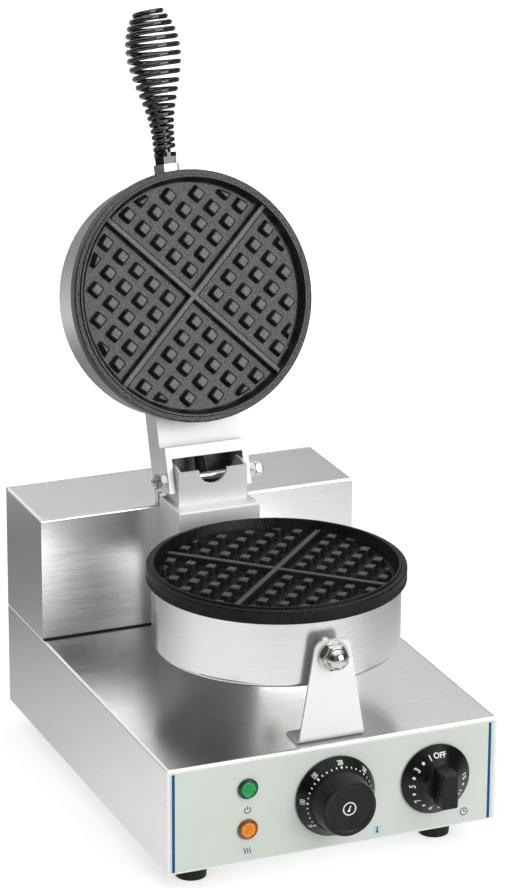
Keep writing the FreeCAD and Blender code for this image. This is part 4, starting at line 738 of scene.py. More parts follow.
def waffle_plate(name, place):
    """The tray, two crossing bars and the pegs, turned a little as on the real machine."""
    field = RIDGE_HEIGHT - CAVITY[name]
    whole_bar = dividing_bar(field, 45, WALL_SINK - ridge_inner, 0)
    half_bars = [dividing_bar(field, angle, 0.5, 0.02) for angle in (135, -45)]
    shells = [tray(CAVITY[name]), whole_bar, *half_bars, *pegs(field)]
    return moved(joined(shells), place @ turn_about("Z", PLATE_TURN[name]))


for name, place, body in (("lower", lower_place, "base"), ("upper", upper_place, "lid")):
    tops = (place @ shift(0, 0, RIDGE_HEIGHT - CAVITY[name] + PEG_HEIGHT))[:3, 3] * MM
    coat = plate_coat(f"{name} non-stick coat", tops, place[:3, 2], peg_reach * MM, *LIT_AND_SHADED_SHEEN[name])
    plate = waffle_plate(name, place)
    piece(f"{name}_waffle_plate", plate, body, coat, (f"{name}_plate",))

# %% [markdown]
# ## The spring handle
# The handle is one thick wire, wound into an open coil that stays cool. It starts narrow on the shank,
# swells to a belly for the hand, and closes in at the tip. The wire is a circle carried along that line.

# %% Coil line
WIRE = 3.8
TURNS, PITCH = 18.5, 5.6
NECK, BELLY, TIP = 17.3, 41.5, 22.0
END_ANGLE = 325
BEND_RUN = 4.4


def coil_line(per_turn=44):
    """The wire's middle line: its radius grows from neck to belly and shrinks to the tip by smooth shares.

    The rise of each turn follows a wave, so that the turns lie closer at both ends.
    """
    turn = np.linspace(0, TURNS, int(TURNS * per_turn) + 1)
    peak = 0.7 * TURNS
    swell = np.sin(np.pi / 2 * np.minimum(turn / peak, 1) ** 1.5) ** 2
    close = np.maximum((turn - peak) / (TURNS - peak), 0) ** 2
    radius = (NECK + (BELLY - NECK) * swell - (BELLY - TIP) * close) / 2 - WIRE / 2
    rise = PITCH * (1 - 0.2 * np.cos(2 * np.pi * (turn / TURNS) ** 1.3))
    height = np.concatenate([[0], np.cumsum((rise[1:] + rise[:-1]) / 2 * np.diff(turn))])
    angle = math.radians(END_ANGLE) - 2 * np.pi * (TURNS - turn)
    return np.stack([radius * np.cos(angle), radius * np.sin(angle), height], axis=-1)


def cubic(knots, samples):
    """A cubic curve between the first and last of four knots, drawn towards the other two."""
    share = np.linspace(0, 1, samples)[:, None]
    weights = (1 - share) ** 3, 3 * share * (1 - share) ** 2, 3 * share**2 * (1 - share), share**3
    return sum(weight * knot for weight, knot in zip(weights, knots))


def with_tail(line):
    """Adds the tail that comes up out of the shank, a smooth bend, and the straight cut end."""
    way = (line[1] - line[0]) / np.linalg.norm(line[1] - line[0])
    level_way = way * [1, 1, 0] / np.hypot(way[0], way[1])
    foot = line[0] - level_way * BEND_RUN - upright * BEND_RUN
    straight = foot - upright * np.linspace(WIRE, 0, 4)[:, None]
    pull = 0.56 * BEND_RUN
    bend = cubic((foot, foot + upright * pull, line[0] - way * pull, line[0]), 12)[1:-1]
    end_way = (line[-1] - line[-2]) / np.linalg.norm(line[-1] - line[-2])
    end = line[-1] + end_way * np.linspace(0, WIRE, 4)[1:, None]
    return np.concatenate([straight, bend, line, end])


# %% Handle wire
COLLAR, SHANK, FLANGE, TAIL_SINK = 9.6, 5.5, 3.2, 5.7
HANDLE_SETBACK, CUT_EDGE = 28.0, 0.35
FIXED_SLANT = 0.3, 0.2, 1.0


def wire_rings(line, radius, around=16):
    """Circles square to a line. Their first direction is square to the line and to one fixed slant."""
    way = np.gradient(line, axis=0)
    way /= np.linalg.norm(way, axis=1, keepdims=True)
    first = np.cross(way, FIXED_SLANT)
    first /= np.linalg.norm(first, axis=1, keepdims=True)
    second = np.cross(way, first)
    angle = np.linspace(0, 2 * np.pi, around, endpoint=False)[None, :, None]
    radius = np.broadcast_to(radius, len(line))[:, None, None]
    return line[:, None] + radius * (np.cos(angle) * first[:, None] + np.sin(angle) * second[:, None])


wire_line = with_tail(coil_line())
lift = COLLAR + SHANK + FLANGE - TAIL_SINK + 0.05 - wire_line[0, 2]
wire_size = np.full(len(wire_line), WIRE / 2)
wire_size[[0, -1]] -= CUT_EDGE
handle_root = shift(0, pan_y - DRUM_RADIUS - 0.1, lid_rim + HANDLE_SETBACK)
handle_place = open_lid @ handle_root @ facing_front @ shift(0, 0, lift)
coil = moved(tube_shell(wire_rings(wire_line, wire_size)), handle_place)
piece("spring_handle", coil, "lid", handle_black, ("handle_coil",))

# %% [markdown]
# ## The lid's lead
# The heater in the lid is fed by a sleeved lead that comes up out of the post behind the hinge bolt.
# Its route is a smooth spline, and the sleeve is a circle carried along it, with the fine ribs of woven
# glass. It is built in the open lid's pose and rides on no body.

# %% Lid lead
LEAD_RADIUS, RIB_DEPTH, RIB_PITCH = 4.0, 0.15, 1.9
LEAD_INSIDE, LEAD_STRAIGHT = 13, 16
SADDLE_LEVEL = 35.5
lead_foot = np.array([0, hinge[1] + 8.5, node_box("hinge_post")[1][2]])
lead_entry = (open_lid @ [0, pan_y + DRUM_RADIUS, lid_rim + SADDLE_LEVEL, 1])[:3]
lid_up = open_lid[:3, :3] @ [0, -1, 0]


def curve_mesh(curve):
    """The points and faces of the mesh that Blender makes of a curve."""
    holder = bpy.data.objects.new(curve.name, curve)
    mesh = bpy.data.meshes.new_from_object(holder)
    points = np.empty(len(mesh.vertices) * 3)
    mesh.vertices.foreach_get("co", points)
    faces = [list(face.vertices) for face in mesh.polygons]
    bpy.data.objects.remove(holder)
    bpy.data.meshes.remove(mesh)
    return points.reshape(-1, 3), faces


def smooth_route(knots):
    """Points along a spline that leaves its first knot and enters its last along the outer runs."""
    route = bpy.data.curves.new("route", "CURVE")
    route.dimensions = "3D"
    route.resolution_u = 80
    spline = route.splines.new("NURBS")
    spline.points.add(len(knots) - 1)
    spline.points.foreach_set("co", np.append(knots, np.ones((len(knots), 1)), axis=1).ravel())
    spline.order_u = 3
    spline.use_endpoint_u = True
    return curve_mesh(route)[0]


def ribbed(line):
    """The lead's radius along its length, with the shallow ribs of a woven sleeve."""
    length = np.concatenate([[0], np.cumsum(np.linalg.norm(np.diff(line, axis=0), axis=1))])
    return LEAD_RADIUS - 0.2 + RIB_DEPTH * np.sin(2 * np.pi * length / RIB_PITCH)


knots = [
    lead_foot - upright * LEAD_INSIDE,
    lead_foot + upright * LEAD_STRAIGHT,
    lead_entry - lid_up * LEAD_STRAIGHT,
    lead_entry + lid_up * LEAD_INSIDE,
]
lead_path = smooth_route(np.array(knots))
sleeve = tube_shell(wire_rings(lead_path, ribbed(lead_path), around=24))
lead = piece("sleeved_lead", sleeve, None, rubber, ("lid_lead",))
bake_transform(lead)

# %% [markdown]
# ## The dials
# Both knobs are moulded in black plastic and turn on their spindles. The thermostat's is a tall cap on a
# sloping skirt, with a hollow for a fingertip in its face. The timer's has a low hub and an upright wing.
# Moulded edges are never sharp, so each outline has small arcs at its corners, and these catch the light.

# %% Thermostat knob
SKIRT_EDGE, SKIRT_TOP = 1.5, 9.8
CAP_RADIUS, CAP_HEIGHT = 20.3, 25.5
FACE_SINK = 0.4
HOLLOW_X, HOLLOW_Y, HOLLOW_DEPTH, HOLLOW_SPREAD = 0.5, -7.6, 1.2, 30
THERMOSTAT_SKIRT = 30.0, CAP_RADIUS + 3


def knob_place(name):
    """The knob's own frame: x right, y up and z towards the user, from the middle of its back face."""
    low, high = node_box(name)
    return shift((low[0] + high[0]) / 2, high[1], (low[2] + high[2]) / 2) @ facing_front


def cap_knob():
    """Skirt, cap and face turned about z; a bell curve of the distance presses a hollow into the face."""
    outer, inner = THERMOSTAT_SKIRT
    corners = [
        (NEAR_AXIS, 0, 0),
        (outer, 0, 0.3),
        (outer, SKIRT_EDGE, 0.5),
        (inner, SKIRT_TOP, 0.3),
        (CAP_RADIUS + 2, SKIRT_TOP, 0.3),
        (CAP_RADIUS, CAP_HEIGHT, 1.3),
        (CAP_RADIUS - 3, CAP_HEIGHT, 0.8),
        (CAP_RADIUS - 4, CAP_HEIGHT - FACE_SINK, 0.8),
        (CAP_RADIUS - 5, CAP_HEIGHT - FACE_SINK, 0),
    ]
    inwards = np.linspace(CAP_RADIUS - 5.5, 0.05, 24)
    face = np.stack([inwards, np.full(24, CAP_HEIGHT - FACE_SINK)], axis=-1)
    rings = turned_rings(np.concatenate([rounded_profile(corners), face]), around=96)
    away = (rings[..., 0] - HOLLOW_X) ** 2 + (rings[..., 1] - HOLLOW_Y) ** 2
    on_face = rings[..., 2] > CAP_HEIGHT - 0.5
    rings[..., 2] -= on_face * HOLLOW_DEPTH * np.exp(-away / HOLLOW_SPREAD)
    return tube_shell(rings)


thermostat_place = knob_place("thermostat_knob")
cap = moved(cap_knob(), thermostat_place)
piece("thermostat_cap", cap, "thermostat_dial", knob_black, ("thermostat_knob",))

# %% Timer knob
HUB_RADIUS, HUB_HEIGHT = 12.0, 12.5
TIMER_SKIRT = 26.3, HUB_RADIUS + 2.5
WING_WIDTH, WING_LENGTH, WING_HEIGHT = 12.8, 27.0, 26.6


def wing():
    """Rounded rectangles stacked up the knob: a wing with straight sides and rounded upper edges."""
    profile = rounded_profile([(0, 1.2, 0), (0.3, WING_HEIGHT, 1.5), (3.0, WING_HEIGHT, 0)], steps=6)
    half_x, half_y = WING_WIDTH / 2 - profile[:, 0], WING_LENGTH / 2 - profile[:, 0]
    layers = [rounded_rectangle(x, y, 1.4) for x, y in zip(half_x, half_y)]
    return tube_shell(stacked(layers, profile[:, 1]))


def wing_knob():
    """A skirt that slopes up to a round hub, with the wing through it."""
    outer, inner = TIMER_SKIRT
    corners = [
        (NEAR_AXIS, 0, 0),
        (outer, 0, 0.3),
        (outer, SKIRT_EDGE, 0.5),
        (inner, SKIRT_TOP, 1.0),
        (HUB_RADIUS, HUB_HEIGHT, 1.2),
        (NEAR_AXIS, HUB_HEIGHT, 0),
    ]
    return joined([tube_shell(turned_rings(rounded_profile(corners), around=96)), wing()])


timer_place = knob_place("timer_knob")
knob = moved(wing_knob(), timer_place)
piece("timer_wing", knob, "timer_dial", knob_black, ("timer_knob",))

# %% [markdown]
# ## Numerals and dots on the dials
# The scales are printed in white on the skirts. Numerals are text made into a mesh, then wrapped
# round the dial: each stands with its top outwards, and lies just above the sloping skirt.

# %% Print helpers
PRINT_GAP = 0.08


def numeral(text, size, width=1.0):
    """A numeral as a flat mesh about its own middle, drawn narrower or wider."""
    curve = bpy.data.curves.new("numeral", "FONT")
    curve.body = text
    curve.size = size
    curve.offset = size * 0.02
    curve.align_x = "CENTER"
    curve.align_y = "CENTER"
    points, faces = curve_mesh(curve)
    return points * [width, 1, 1], faces


def dot(radius):
    """A low round spot of ink."""
    profile = np.array([[radius, 0], [radius, 0.03], [radius * 0.8, 0.05]])
    return tube_shell(turned_rings(profile, around=16))


def round_dial(shell, radius, clockwise):
    """Carries a shell out along y and round the dial, clockwise from the top."""
    return moved(shell, turn_about("Z", -clockwise) @ shift(0, radius, 0))


def on_skirt(shells, skirt):
    """Lifts the shells onto a skirt that slopes up from its outer radius to its inner radius."""
    points, faces = joined(shells)
    share = (skirt[0] - np.hypot(points[:, 0], points[:, 1])) / (skirt[0] - skirt[1])
    points[:, 2] += SKIRT_EDGE + (SKIRT_TOP - SKIRT_EDGE) * np.clip(share, 0, 1) + PRINT_GAP
    return points, faces


# %% Thermostat scale
SCALE_START, SCALE_STEP = 228.8, 44.6
DOT_RADIUS, NUMERAL_RADIUS = 24.6, 26.9
DEGREE_SIZE, DEGREE_WIDTH = 3.4, 0.83
FINE_DOT, MAIN_DOT, STOP_DOT, STOP_TURN = 0.5, 0.7, 0.6, 194
degrees = np.arange(50, 301, 50)
turns = SCALE_START + SCALE_STEP * np.arange(len(degrees))
scale = []
for value, turn in zip(degrees, turns):
    scale.append(round_dial(numeral(str(value), DEGREE_SIZE, DEGREE_WIDTH), NUMERAL_RADIUS, turn))
fine_turns = SCALE_START + SCALE_STEP / 5 * np.arange(5 * len(degrees) - 4)
for step, turn in enumerate(fine_turns):
    scale.append(round_dial(dot(FINE_DOT if step % 5 else MAIN_DOT), DOT_RADIUS, turn))
scale.append(round_dial(dot(STOP_DOT), DOT_RADIUS - 1, STOP_TURN))
print_shell = moved(on_skirt(scale, THERMOSTAT_SKIRT), thermostat_place)
piece("thermostat_scale", print_shell, "thermostat_dial", white_ink)

# %% Timer scale
MINUTE, FIRST_MINUTE = 18.1, 340.6
MINUTE_RADIUS, MINUTE_SIZE, MINUTE_DOT = 19.9, 5.4, 1.05
OFF_SIZE, OFF_WIDTH, OFF_TURN = 4.8, 1.15, 2
minutes = np.arange(1, 16, 2)
scale = []
for value in minutes:
    turn = FIRST_MINUTE - MINUTE * (value - 1)
    scale.append(round_dial(numeral(str(value), MINUTE_SIZE), MINUTE_RADIUS, turn))
scale += [round_dial(dot(MINUTE_DOT), MINUTE_RADIUS, FIRST_MINUTE - MINUTE * value) for value in minutes[:-1]]
scale.append(round_dial(numeral("OFF", OFF_SIZE, OFF_WIDTH), MINUTE_RADIUS, OFF_TURN))
print_shell = moved(on_skirt(scale, TIMER_SKIRT), timer_place)
piece("timer_scale", print_shell, "timer_dial", white_ink)

# %% [markdown]
# ## Signs on the front film
# The film has a dark blue stripe at each end and small blue signs: a power sign and a heat sign under the
# lamps, a thermometer by the thermostat and a clock by the timer. A thermometer in a ring is printed in white
# on the thermostat's cap. Each line is a thin band carried along a path.

# %% Bands
film_low, film_high = node_box("front_panel_film")
film_place = shift(0, film_low[1], 0) @ facing_front
INK = 0.05


def band(path, width):
    """A thin flat band of that width along a path of (across, up) points."""
    path = np.array(path, float)
    way = np.gradient(path, axis=0)
    way /= np.linalg.norm(way, axis=1, keepdims=True)
    side = np.stack([-way[:, 1], way[:, 0]], axis=-1) * width / 2
    rings = np.zeros((len(path), 4, 3))
    rings[:, 0, :2] = rings[:, 3, :2] = path - side
    rings[:, 1, :2] = rings[:, 2, :2] = path + side
    rings[:, 2:, 2] = INK
    return tube_shell(rings)


def arc(radius, start, end, samples=40):
    """Points on a circle, between two angles clockwise from the top."""
    angle = np.radians(np.linspace(start, end, samples))
    return np.stack([radius * np.sin(angle), radius * np.cos(angle)], axis=-1)


def sign(shells, across, up):
    """The shells of one sign, moved to its place on the film."""
    return moved(joined(shells), shift(across, up, 0))


# %% Stripes and signs
STRIPE_INSET, STRIPE_WIDTH = 3.2, 2.1
SIGN_DROP = 16.5
CLOCK_AT = 100.5, 29.5
stripe_x = film_high[0] - STRIPE_INSET
ends = [[film_low[2] + 0.3], [film_high[2] - 0.3]]
stripes = [band(np.insert(ends, 0, across, axis=1), STRIPE_WIDTH) for across in (-stripe_x - 1.2, stripe_x)]
lamp_x = np.mean([corner[0] for corner in node_box("power_lamp_lens")])
lamp_levels = {}
for name in ("power_lamp_lens", "heat_lamp_lens"):
    lamp_levels[name] = np.mean([corner[2] for corner in node_box(name)])
power = [band(arc(2.2, 35, 325), 0.75), band([[0, 0.4], [0, 2.9]], 0.75)]
wave = np.stack([0.6 * np.sin(np.linspace(0, 2 * np.pi, 24)), np.linspace(-2.2, 2.2, 24)], axis=-1)
heat = [band(wave + [offset, 0], 0.7) for offset in (-2, 0, 2)]
hands = [band([[0, -0.2], [0, 1.9]], 0.6), band([[-0.2, 0], [1.5, 0]], 0.6)]
clock = [band(arc(2.7, 0, 360, 49), 0.7), *hands]
signs = [
    sign(power, lamp_x, lamp_levels["power_lamp_lens"] - SIGN_DROP),
    sign(heat, lamp_x, lamp_levels["heat_lamp_lens"] - SIGN_DROP),
    sign(clock, *CLOCK_AT),
]
piece("blue_signs", moved(joined(stripes + signs), film_place), "base", blue_ink)

# %% Thermometer signs
THERMOMETER_AT = 33.0, 27.3
PATCH = rounded_rectangle(3.4, 3.4, 0.8)
patch = tube_shell(stacked([PATCH, PATCH], [0, INK]))
piece("pale_patch", moved(sign([patch], *THERMOMETER_AT), film_place), "base", pale_blue_ink)
thermometer = [band([[0, -0.6], [0, 2.4]], 0.9), moved(dot(1.0), shift(0, -1.5, 0))]
stem = moved(sign(thermometer, *THERMOMETER_AT), film_place @ shift(0, 0, 0.06))
piece("thermometer_sign", stem, "base", blue_ink)
ringed = moved(joined([*thermometer, band(arc(4.6, 0, 360, 65), 0.9)]), turn_about("Z", -20))
ringed = moved(ringed, thermostat_place @ shift(0, 0.5, CAP_HEIGHT - 0.36))
piece("cap_sign", ringed, "thermostat_dial", white_ink)

# %% [markdown]
# ## The lamps
# Each lamp is pushed through the panel from the front. A deep-coloured collar rings a brighter middle, which
# is moulded with small facets that spread the light. The facets are a product of two waves added to a dome.

# %% Lamps
LAMP_RADIUS, LAMP_FACE, LAMP_HEIGHT = 7.5, 5.3, 3.6
FACET, FACET_HEIGHT, DOME_FALL = 1.45, 0.4, 0.9


def lamp_collar():
    """A rounded collar turned about z, with a hole for the middle."""
    corners = [(5.2, 0, 0), (LAMP_RADIUS, 0, 0.2), (LAMP_RADIUS, 1.4, 0.7), (6.1, 2.6, 0.6), (5.2, 2.0, 0)]
    return ring_shell(turned_rings(rounded_profile(corners), around=64))


def lamp_face():
    """A low dome with facets: its height falls with the square of the radius, and two waves ripple it."""
    radius = np.concatenate([np.full(2, LAMP_FACE), np.linspace(LAMP_FACE, 0.05, 40)])
    height = LAMP_HEIGHT - 0.42 - DOME_FALL * (radius / LAMP_FACE) ** 2
    height[:2] = 0.0, 1.5
    rings = turned_rings(np.stack([radius, height], axis=-1), around=96)
    ripple = np.cos(2 * np.pi * rings[..., 0] / FACET) * np.cos(2 * np.pi * rings[..., 1] / FACET)
    rings[2:, :, 2] += FACET_HEIGHT * ripple[2:] * (1 - (radius[2:, None] / LAMP_FACE) ** 8)
    return tube_shell(rings)


for name, colour, face, collar in (
    ("power_lamp", "green_lens", green_lens, green_collar),
    ("heat_lamp", "orange_lens", orange_lens, orange_collar),
):
    lamp_place = shift(lamp_x, film_low[1], lamp_levels[f"{name}_lens"]) @ facing_front
    middle = moved(lamp_face(), lamp_place)
    piece(f"{name}_face", middle, "base", face, (f"{name}_lens",), sharp=60)
    piece(f"{name}_collar", moved(lamp_collar(), lamp_place), "base", collar)

# %% [markdown]
# ## Nuts and screws
# Hexagon nuts have their corners turned off by a cone, which leaves the small curved edges that catch the
# light. The radius at each angle is the lesser of the hexagon's and the cone's. Screw heads have a cross
# pressed in.

# %% Hexagon nuts


def hexagon_radius(across_flats, angle):
    """How far a hexagon reaches at each angle; its corners lie at 0, 60, 120 degrees and so on."""
    return across_flats / 2 / np.cos((angle % (np.pi / 3)) - np.pi / 6)


def hex_rings(across_flats, heights, around=48):
    """Rings of a hexagon whose corners are turned off by a cone at both ends."""
    angle = np.linspace(0, 2 * np.pi, around, endpoint=False)
    from_end = np.minimum(heights - heights[0], heights[-1] - heights)
    cone = across_flats / 2 * 0.95 + from_end * math.sqrt(3)
    radius = np.minimum(hexagon_radius(across_flats, angle)[None], cone[:, None])
    rings = np.empty((len(heights), around, 3))
    rings[..., 0] = radius * np.cos(angle)
    rings[..., 1] = radius * np.sin(angle)
    rings[..., 2] = heights[:, None]
    return rings


def hex_nut(across_flats, height, bore):
    """A nut about z, from its seat at 0, with a countersunk bore."""
    share = np.array([0, 0.05, 0.1, 0.15, 0.22, 0.5, 0.78, 0.85, 0.9, 0.95, 1])
    outside = hex_rings(across_flats, share * height)
    inside = np.array([[bore + 0.5, height], [bore, height - 0.5], [bore, 0.5], [bore + 0.5, 0]])
    return ring_shell(np.concatenate([outside, turned_rings(inside, around=48)]))


# %% Threads


def thread(radius, pitch, depth, length):
    """A threaded rod about z: the radius follows a zigzag along a helix, and closes in at the end."""
    heights = np.arange(0, length + pitch / 10, pitch / 8)
    angle = np.linspace(0, 2 * np.pi, 32, endpoint=False)
    phase = heights[:, None] / pitch - angle[None] / (2 * np.pi)
    size = radius - depth * np.abs(2 * (phase % 1) - 1)
    size = np.minimum(size, radius - 0.7 + (heights[-1] - heights)[:, None])
    along = np.broadcast_to(heights[:, None], size.shape)
    return tube_shell(np.stack([size * np.cos(angle), size * np.sin(angle), along], axis=-1))


# %% Hinge bolt and its nuts
BOLT_RADIUS, NUT_WIDTH, NUT_HEIGHT = 3.0, 10.0, 5.0
THREAD_PITCH, THREAD_DEPTH, THREAD_LAP = 1.0, 0.35, 2
bolt_end = node_box("hinge_bolt")[1][0]
to_right = shift(*hinge) @ turn_about("Y", 90)
to_left = shift(*hinge) @ turn_about("Y", -90)
nut_seat = node_box("hinge_nuts")[1][0] - 2 * NUT_HEIGHT
threaded_end = thread(BOLT_RADIUS, THREAD_PITCH, THREAD_DEPTH, bolt_end - nut_seat + THREAD_LAP)
plain_middle = np.array([[BOLT_RADIUS - 0.3, -nut_seat], [BOLT_RADIUS - 0.3, nut_seat]])
nut_shells = []
bolt_shells = [moved(tube_shell(turned_rings(plain_middle, 32)), to_right)]
for side, quarter in ((to_right, 8.0), (to_left, 37.0)):
    for number in range(2):
        place = side @ shift(0, 0, nut_seat + number * NUT_HEIGHT) @ turn_about("Z", quarter + 25 * number)
        nut_shells.append(moved(hex_nut(NUT_WIDTH, NUT_HEIGHT - 0.05, BOLT_RADIUS), place))
    bolt_shells.append(moved(threaded_end, side @ shift(0, 0, nut_seat - THREAD_LAP)))
piece("hinge_hex_nuts", joined(nut_shells), "base", plating, ("hinge_nuts",), sharp=30)
piece("threaded_bolt", joined(bolt_shells), "base", plating, ("hinge_bolt",), sharp=30)

# %% Cap nut on the pan's stud
CAP_NUT_WIDTH, CAP_NUT_HEIGHT = 17.0, 6.0
cap_low, cap_high = node_box("pan_cap_nut")
cap_height = cap_high[1] - cap_low[1]
stud_level = (cap_low[2] + cap_high[2]) / 2
dome_radius = CAP_NUT_WIDTH / 2 - 0.5
swing = np.linspace(0, np.pi / 2 - 0.02, 16)
dome_height = CAP_NUT_HEIGHT + (cap_height - CAP_NUT_HEIGHT) * np.sin(swing)
dome = np.stack([dome_radius * np.cos(swing), dome_height], axis=-1)
dome = tube_shell(turned_rings(np.concatenate([[[dome_radius, CAP_NUT_HEIGHT - 1]], dome]), around=64))
skirt = tube_shell(hex_rings(CAP_NUT_WIDTH, np.array([0, 0.3, 0.6, 1, 3, 5, 5.4, 5.7, CAP_NUT_HEIGHT])))
cap_place = shift(0, cap_high[1], stud_level) @ facing_front
domed = moved(joined([skirt, dome]), cap_place)
piece("domed_nut", domed, "base", chrome, ("pan_cap_nut",), sharp=30)

# %% Screw heads
HEAD_RADIUS, HEAD_HEIGHT, SCREW_RADIUS, SCREW_LENGTH = 3.6, 2.0, 1.9, 6.5
CROSS_WIDTH, CROSS_REACH, CROSS_DEPTH = 0.55, 2.2, 1.1


def cross_screw():
    """A domed head turned about z on a plain shank; points near either arm of a cross are pressed in."""
    radius = HEAD_RADIUS * np.linspace(1, 0.04, 16)
    height = HEAD_HEIGHT * np.sqrt(1 - (radius / HEAD_RADIUS) ** 4 * 0.96)
    shank = [[SCREW_RADIUS, -SCREW_LENGTH], [SCREW_RADIUS, 0], [HEAD_RADIUS, 0]]
    rings = turned_rings(np.concatenate([shank, np.stack([radius, height], axis=-1)]), around=48)
    across, along = np.abs(rings[3:, :, 0]), np.abs(rings[3:, :, 1])
    narrow, wide = np.minimum(across, along), np.maximum(across, along)
    inside = np.clip((CROSS_WIDTH - narrow) / 0.2, 0, 1) * np.clip((CROSS_REACH - wide) / 0.6, 0, 1)
    rings[3:, :, 2] -= CROSS_DEPTH * inside
    return tube_shell(rings)


def corner_places(name, seat, facing):
    """A place at each corner of a set of screws: their boxes' corners, drawn in by a head's radius."""
    low, high = node_box(name)
    inner = [np.unique([low[axis] + HEAD_RADIUS, high[axis] - HEAD_RADIUS]) for axis in range(3)]
    inner[seat[0]] = np.array([seat[1]])
    spots = np.stack(np.meshgrid(*inner, indexing="ij"), axis=-1).reshape(-1, 3)
    return [shift(*spot) @ facing @ turn_about("Z", 25 + 31 * number) for number, spot in enumerate(spots)]


back_face = node_box("tower_back_plate")[1][1]
under_face = base_low[2] / MM
foot_face = node_box("front_bracket_screws")[1][2] - HEAD_HEIGHT
SCREWS = {
    "back_plate_screws": ((1, back_face), turn_about("X", -90)),
    "bottom_plate_screws": ((2, under_face), turn_about("X", 180)),
    "front_bracket_screws": ((2, foot_face), np.eye(4)),
}
for name, (seat, facing) in SCREWS.items():
    shells = [moved(cross_screw(), place) for place in corner_places(name, seat, facing)]
    piece(f"cross_{name}", joined(shells), "base", plating, (name,))

# %% [markdown]
# ## The tower's seam, in painted shade
# A dark line shows where the tower stands on the base: the narrow gap there lies in shade. The line is painted
# shade: a thin black bead along the tower's front foot, which stops at the post. A bead with its own section
# keeps the line dark from every side.

# %% Seam
SEAM_INSET = 0.5
tower_low, tower_high = node_box("tower_cover")
post_low, post_high = node_box("hinge_post")
# Painted shade: the bead is black to stand in for the shade in the gap at the tower's foot.
bead = rounded_rectangle(0.4, 0.6, 0.15) + [tower_low[1] - 0.35, tower_low[2] + 0.55]
left_bead = bar(bead, tower_low[0] + SEAM_INSET, post_low[0])
right_bead = bar(bead, post_high[0], tower_high[0] - SEAM_INSET)
piece("tower_seam_shade", joined([left_bead, right_bead]), "base", rubber)

# %% [markdown]
# ## Studio
# The machine stands on a pale floor in plain soft light. The floor and the world are white to the camera.
# In reflections the floor is bright near the machine's front, darker far to the left and the right and behind
# it, and bright again far behind. That is what draws the long soft gradients on the brushed sides.

# %% Floor


def seen(tree, *rays):
    """1 for the named kinds of ray, and 0 for all others."""
    path = add(tree, "LightPath", {})
    value = path.outputs[rays[0]]
    for ray in rays[1:]:
        value = maths(tree, "MAXIMUM", value, path.outputs[ray])
    return value


def floor_material():
    """A matt floor, lifted to white for rays from the camera.

    Its tone is the product of a fall from front to back and a fall to each side, plus a rise far behind.
    """
    material, tree, shader = new_material("floor", (0.7, 0.7, 0.7), 0.9)
    place = add(tree, "SeparateXYZ", {0: add(tree, "TexCoord", {}).outputs["Object"]})
    across, along = place.outputs[0], place.outputs[1]
    to_right = stretch(tree, across, 0.25, 0.5, 1.0, 0.4)
    sides = maths(tree, "MULTIPLY", to_right, stretch(tree, across, -0.9, -0.5, 0.25, 1.0))
    near = maths(tree, "MULTIPLY", stretch(tree, along, -0.1, 0.6, 0.75, 0.2), sides)
    far = stretch(tree, along, 0.55, 0.95, 0.0, 0.75)
    tone = maths(tree, "ADD", near, far)
    colour = add(tree, "CombineColor", {0: tone, 1: tone, 2: tone}).outputs[0]
    tree.links.new(colour, shader.inputs["Base Color"])
    shader.inputs["Emission Color"].default_value = (1, 1, 1, 1)
    to_white = maths(tree, "SUBTRACT", 1.1, maths(tree, "MULTIPLY", near, 0.75))
    ahead = maths(tree, "MULTIPLY", stretch(tree, along, -0.7, -0.4, 0.2, 1.0), to_right)
    shine = maths(tree, "MULTIPLY", stretch(tree, along, 0.0, 0.4, 0.5, 0.05), ahead)
    camera_part = maths(tree, "MULTIPLY", seen(tree, "Is Camera Ray", "Is Transmission Ray"), to_white)
    glossy_part = maths(tree, "MULTIPLY", seen(tree, "Is Glossy Ray"), shine)
    tree.links.new(maths(tree, "ADD", camera_part, glossy_part), shader.inputs["Emission Strength"])
    return material


FLOOR_REACH = 8.0
corners = np.array([[-1, -1, 0], [1, -1, 0], [1, 1, 0], [-1, 1, 0]]) * FLOOR_REACH
floor_mesh = bpy.data.meshes.new("floor")
floor_mesh.from_pydata(corners.tolist(), [], [[0, 1, 2, 3]])
floor_mesh.materials.append(floor_material())
floor = bpy.data.objects.new("floor", floor_mesh)
bpy.context.scene.collection.objects.link(floor)
print("floor reaches", FLOOR_REACH, "m each way")

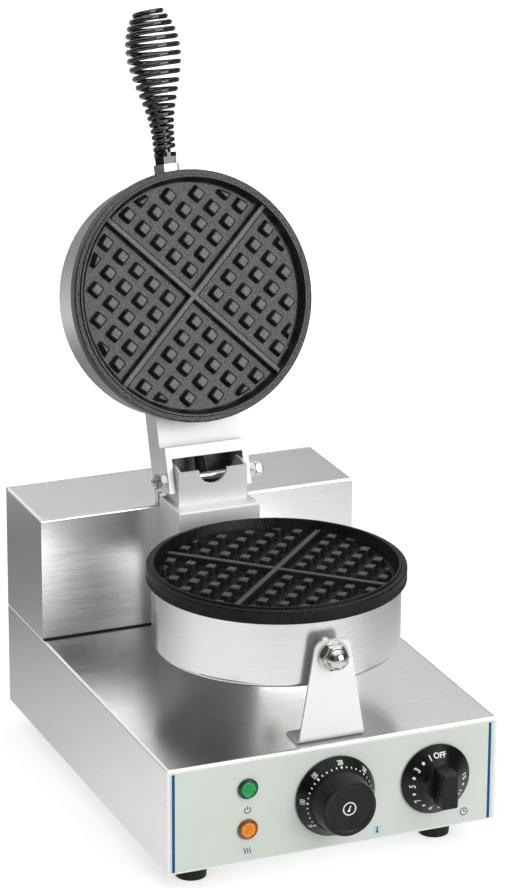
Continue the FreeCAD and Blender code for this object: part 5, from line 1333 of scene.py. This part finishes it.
# %% World
EVEN_LIGHT = 0.38


def studio_world():
    """White to the camera, and for reflections a room that is greyer in front, low down and on the left.

    The room is the product of a fall by each heading. Diffuse light is even.
    """
    world = bpy.data.worlds.new("studio")
    world.use_nodes = True
    tree = world.node_tree
    sky = tree.nodes["Background"]
    sky.inputs["Color"].default_value = (1, 1, 1, 1)
    heading = add(tree, "SeparateXYZ", {0: add(tree, "TexCoord", {}).outputs["Generated"]})
    front = stretch(tree, heading.outputs[1], -0.4, 0.6, 0.2, 1.0)
    slant = maths(tree, "SUBTRACT", heading.outputs[2], maths(tree, "MULTIPLY", heading.outputs[0], 0.4))
    lit_side = maths(tree, "MULTIPLY", front, stretch(tree, heading.outputs[0], -0.85, -0.45, 0.1, 1.0))
    room = maths(tree, "MULTIPLY", lit_side, stretch(tree, slant, 0.16, 0.25, 0.18, 1.2))
    camera_ray = seen(tree, "Is Camera Ray", "Is Transmission Ray")
    glossy_ray = seen(tree, "Is Glossy Ray")
    others = add(tree, "Mix", {0: glossy_ray, 2: EVEN_LIGHT, 3: room}).outputs[0]
    tree.links.new(add(tree, "Mix", {0: camera_ray, 2: others, 3: 1.0}).outputs[0], sky.inputs["Strength"])
    return world


bpy.context.scene.world = studio_world()
print("world:", bpy.context.scene.world.name)

# %% [markdown]
# ## Lamps
# A large softbox stands in front on the right, low enough for the upright lid to catch it, and a larger one
# hangs overhead. Both are wide, so that the edges of shadows stay soft and bends don't glare.

# %% Lamps
LAMP_TARGET = Vector((0, 0, 0.25))
LAMPS = {
    "front right": ((0.85, -1.95, 0.95), 1.6, 27),
    "overhead": ((0.0, -0.2, 2.4), 3.0, 30),
}
for name, (spot, size, power) in LAMPS.items():
    light = bpy.data.lights.new(name, "AREA")
    light.size = size
    light.energy = power
    lamp = bpy.data.objects.new(name, light)
    lamp.location = spot
    lamp.rotation_euler = (LAMP_TARGET - Vector(spot)).to_track_quat("-Z", "Y").to_euler()
    bpy.context.scene.collection.objects.link(lamp)
print("lamps:", list(LAMPS))
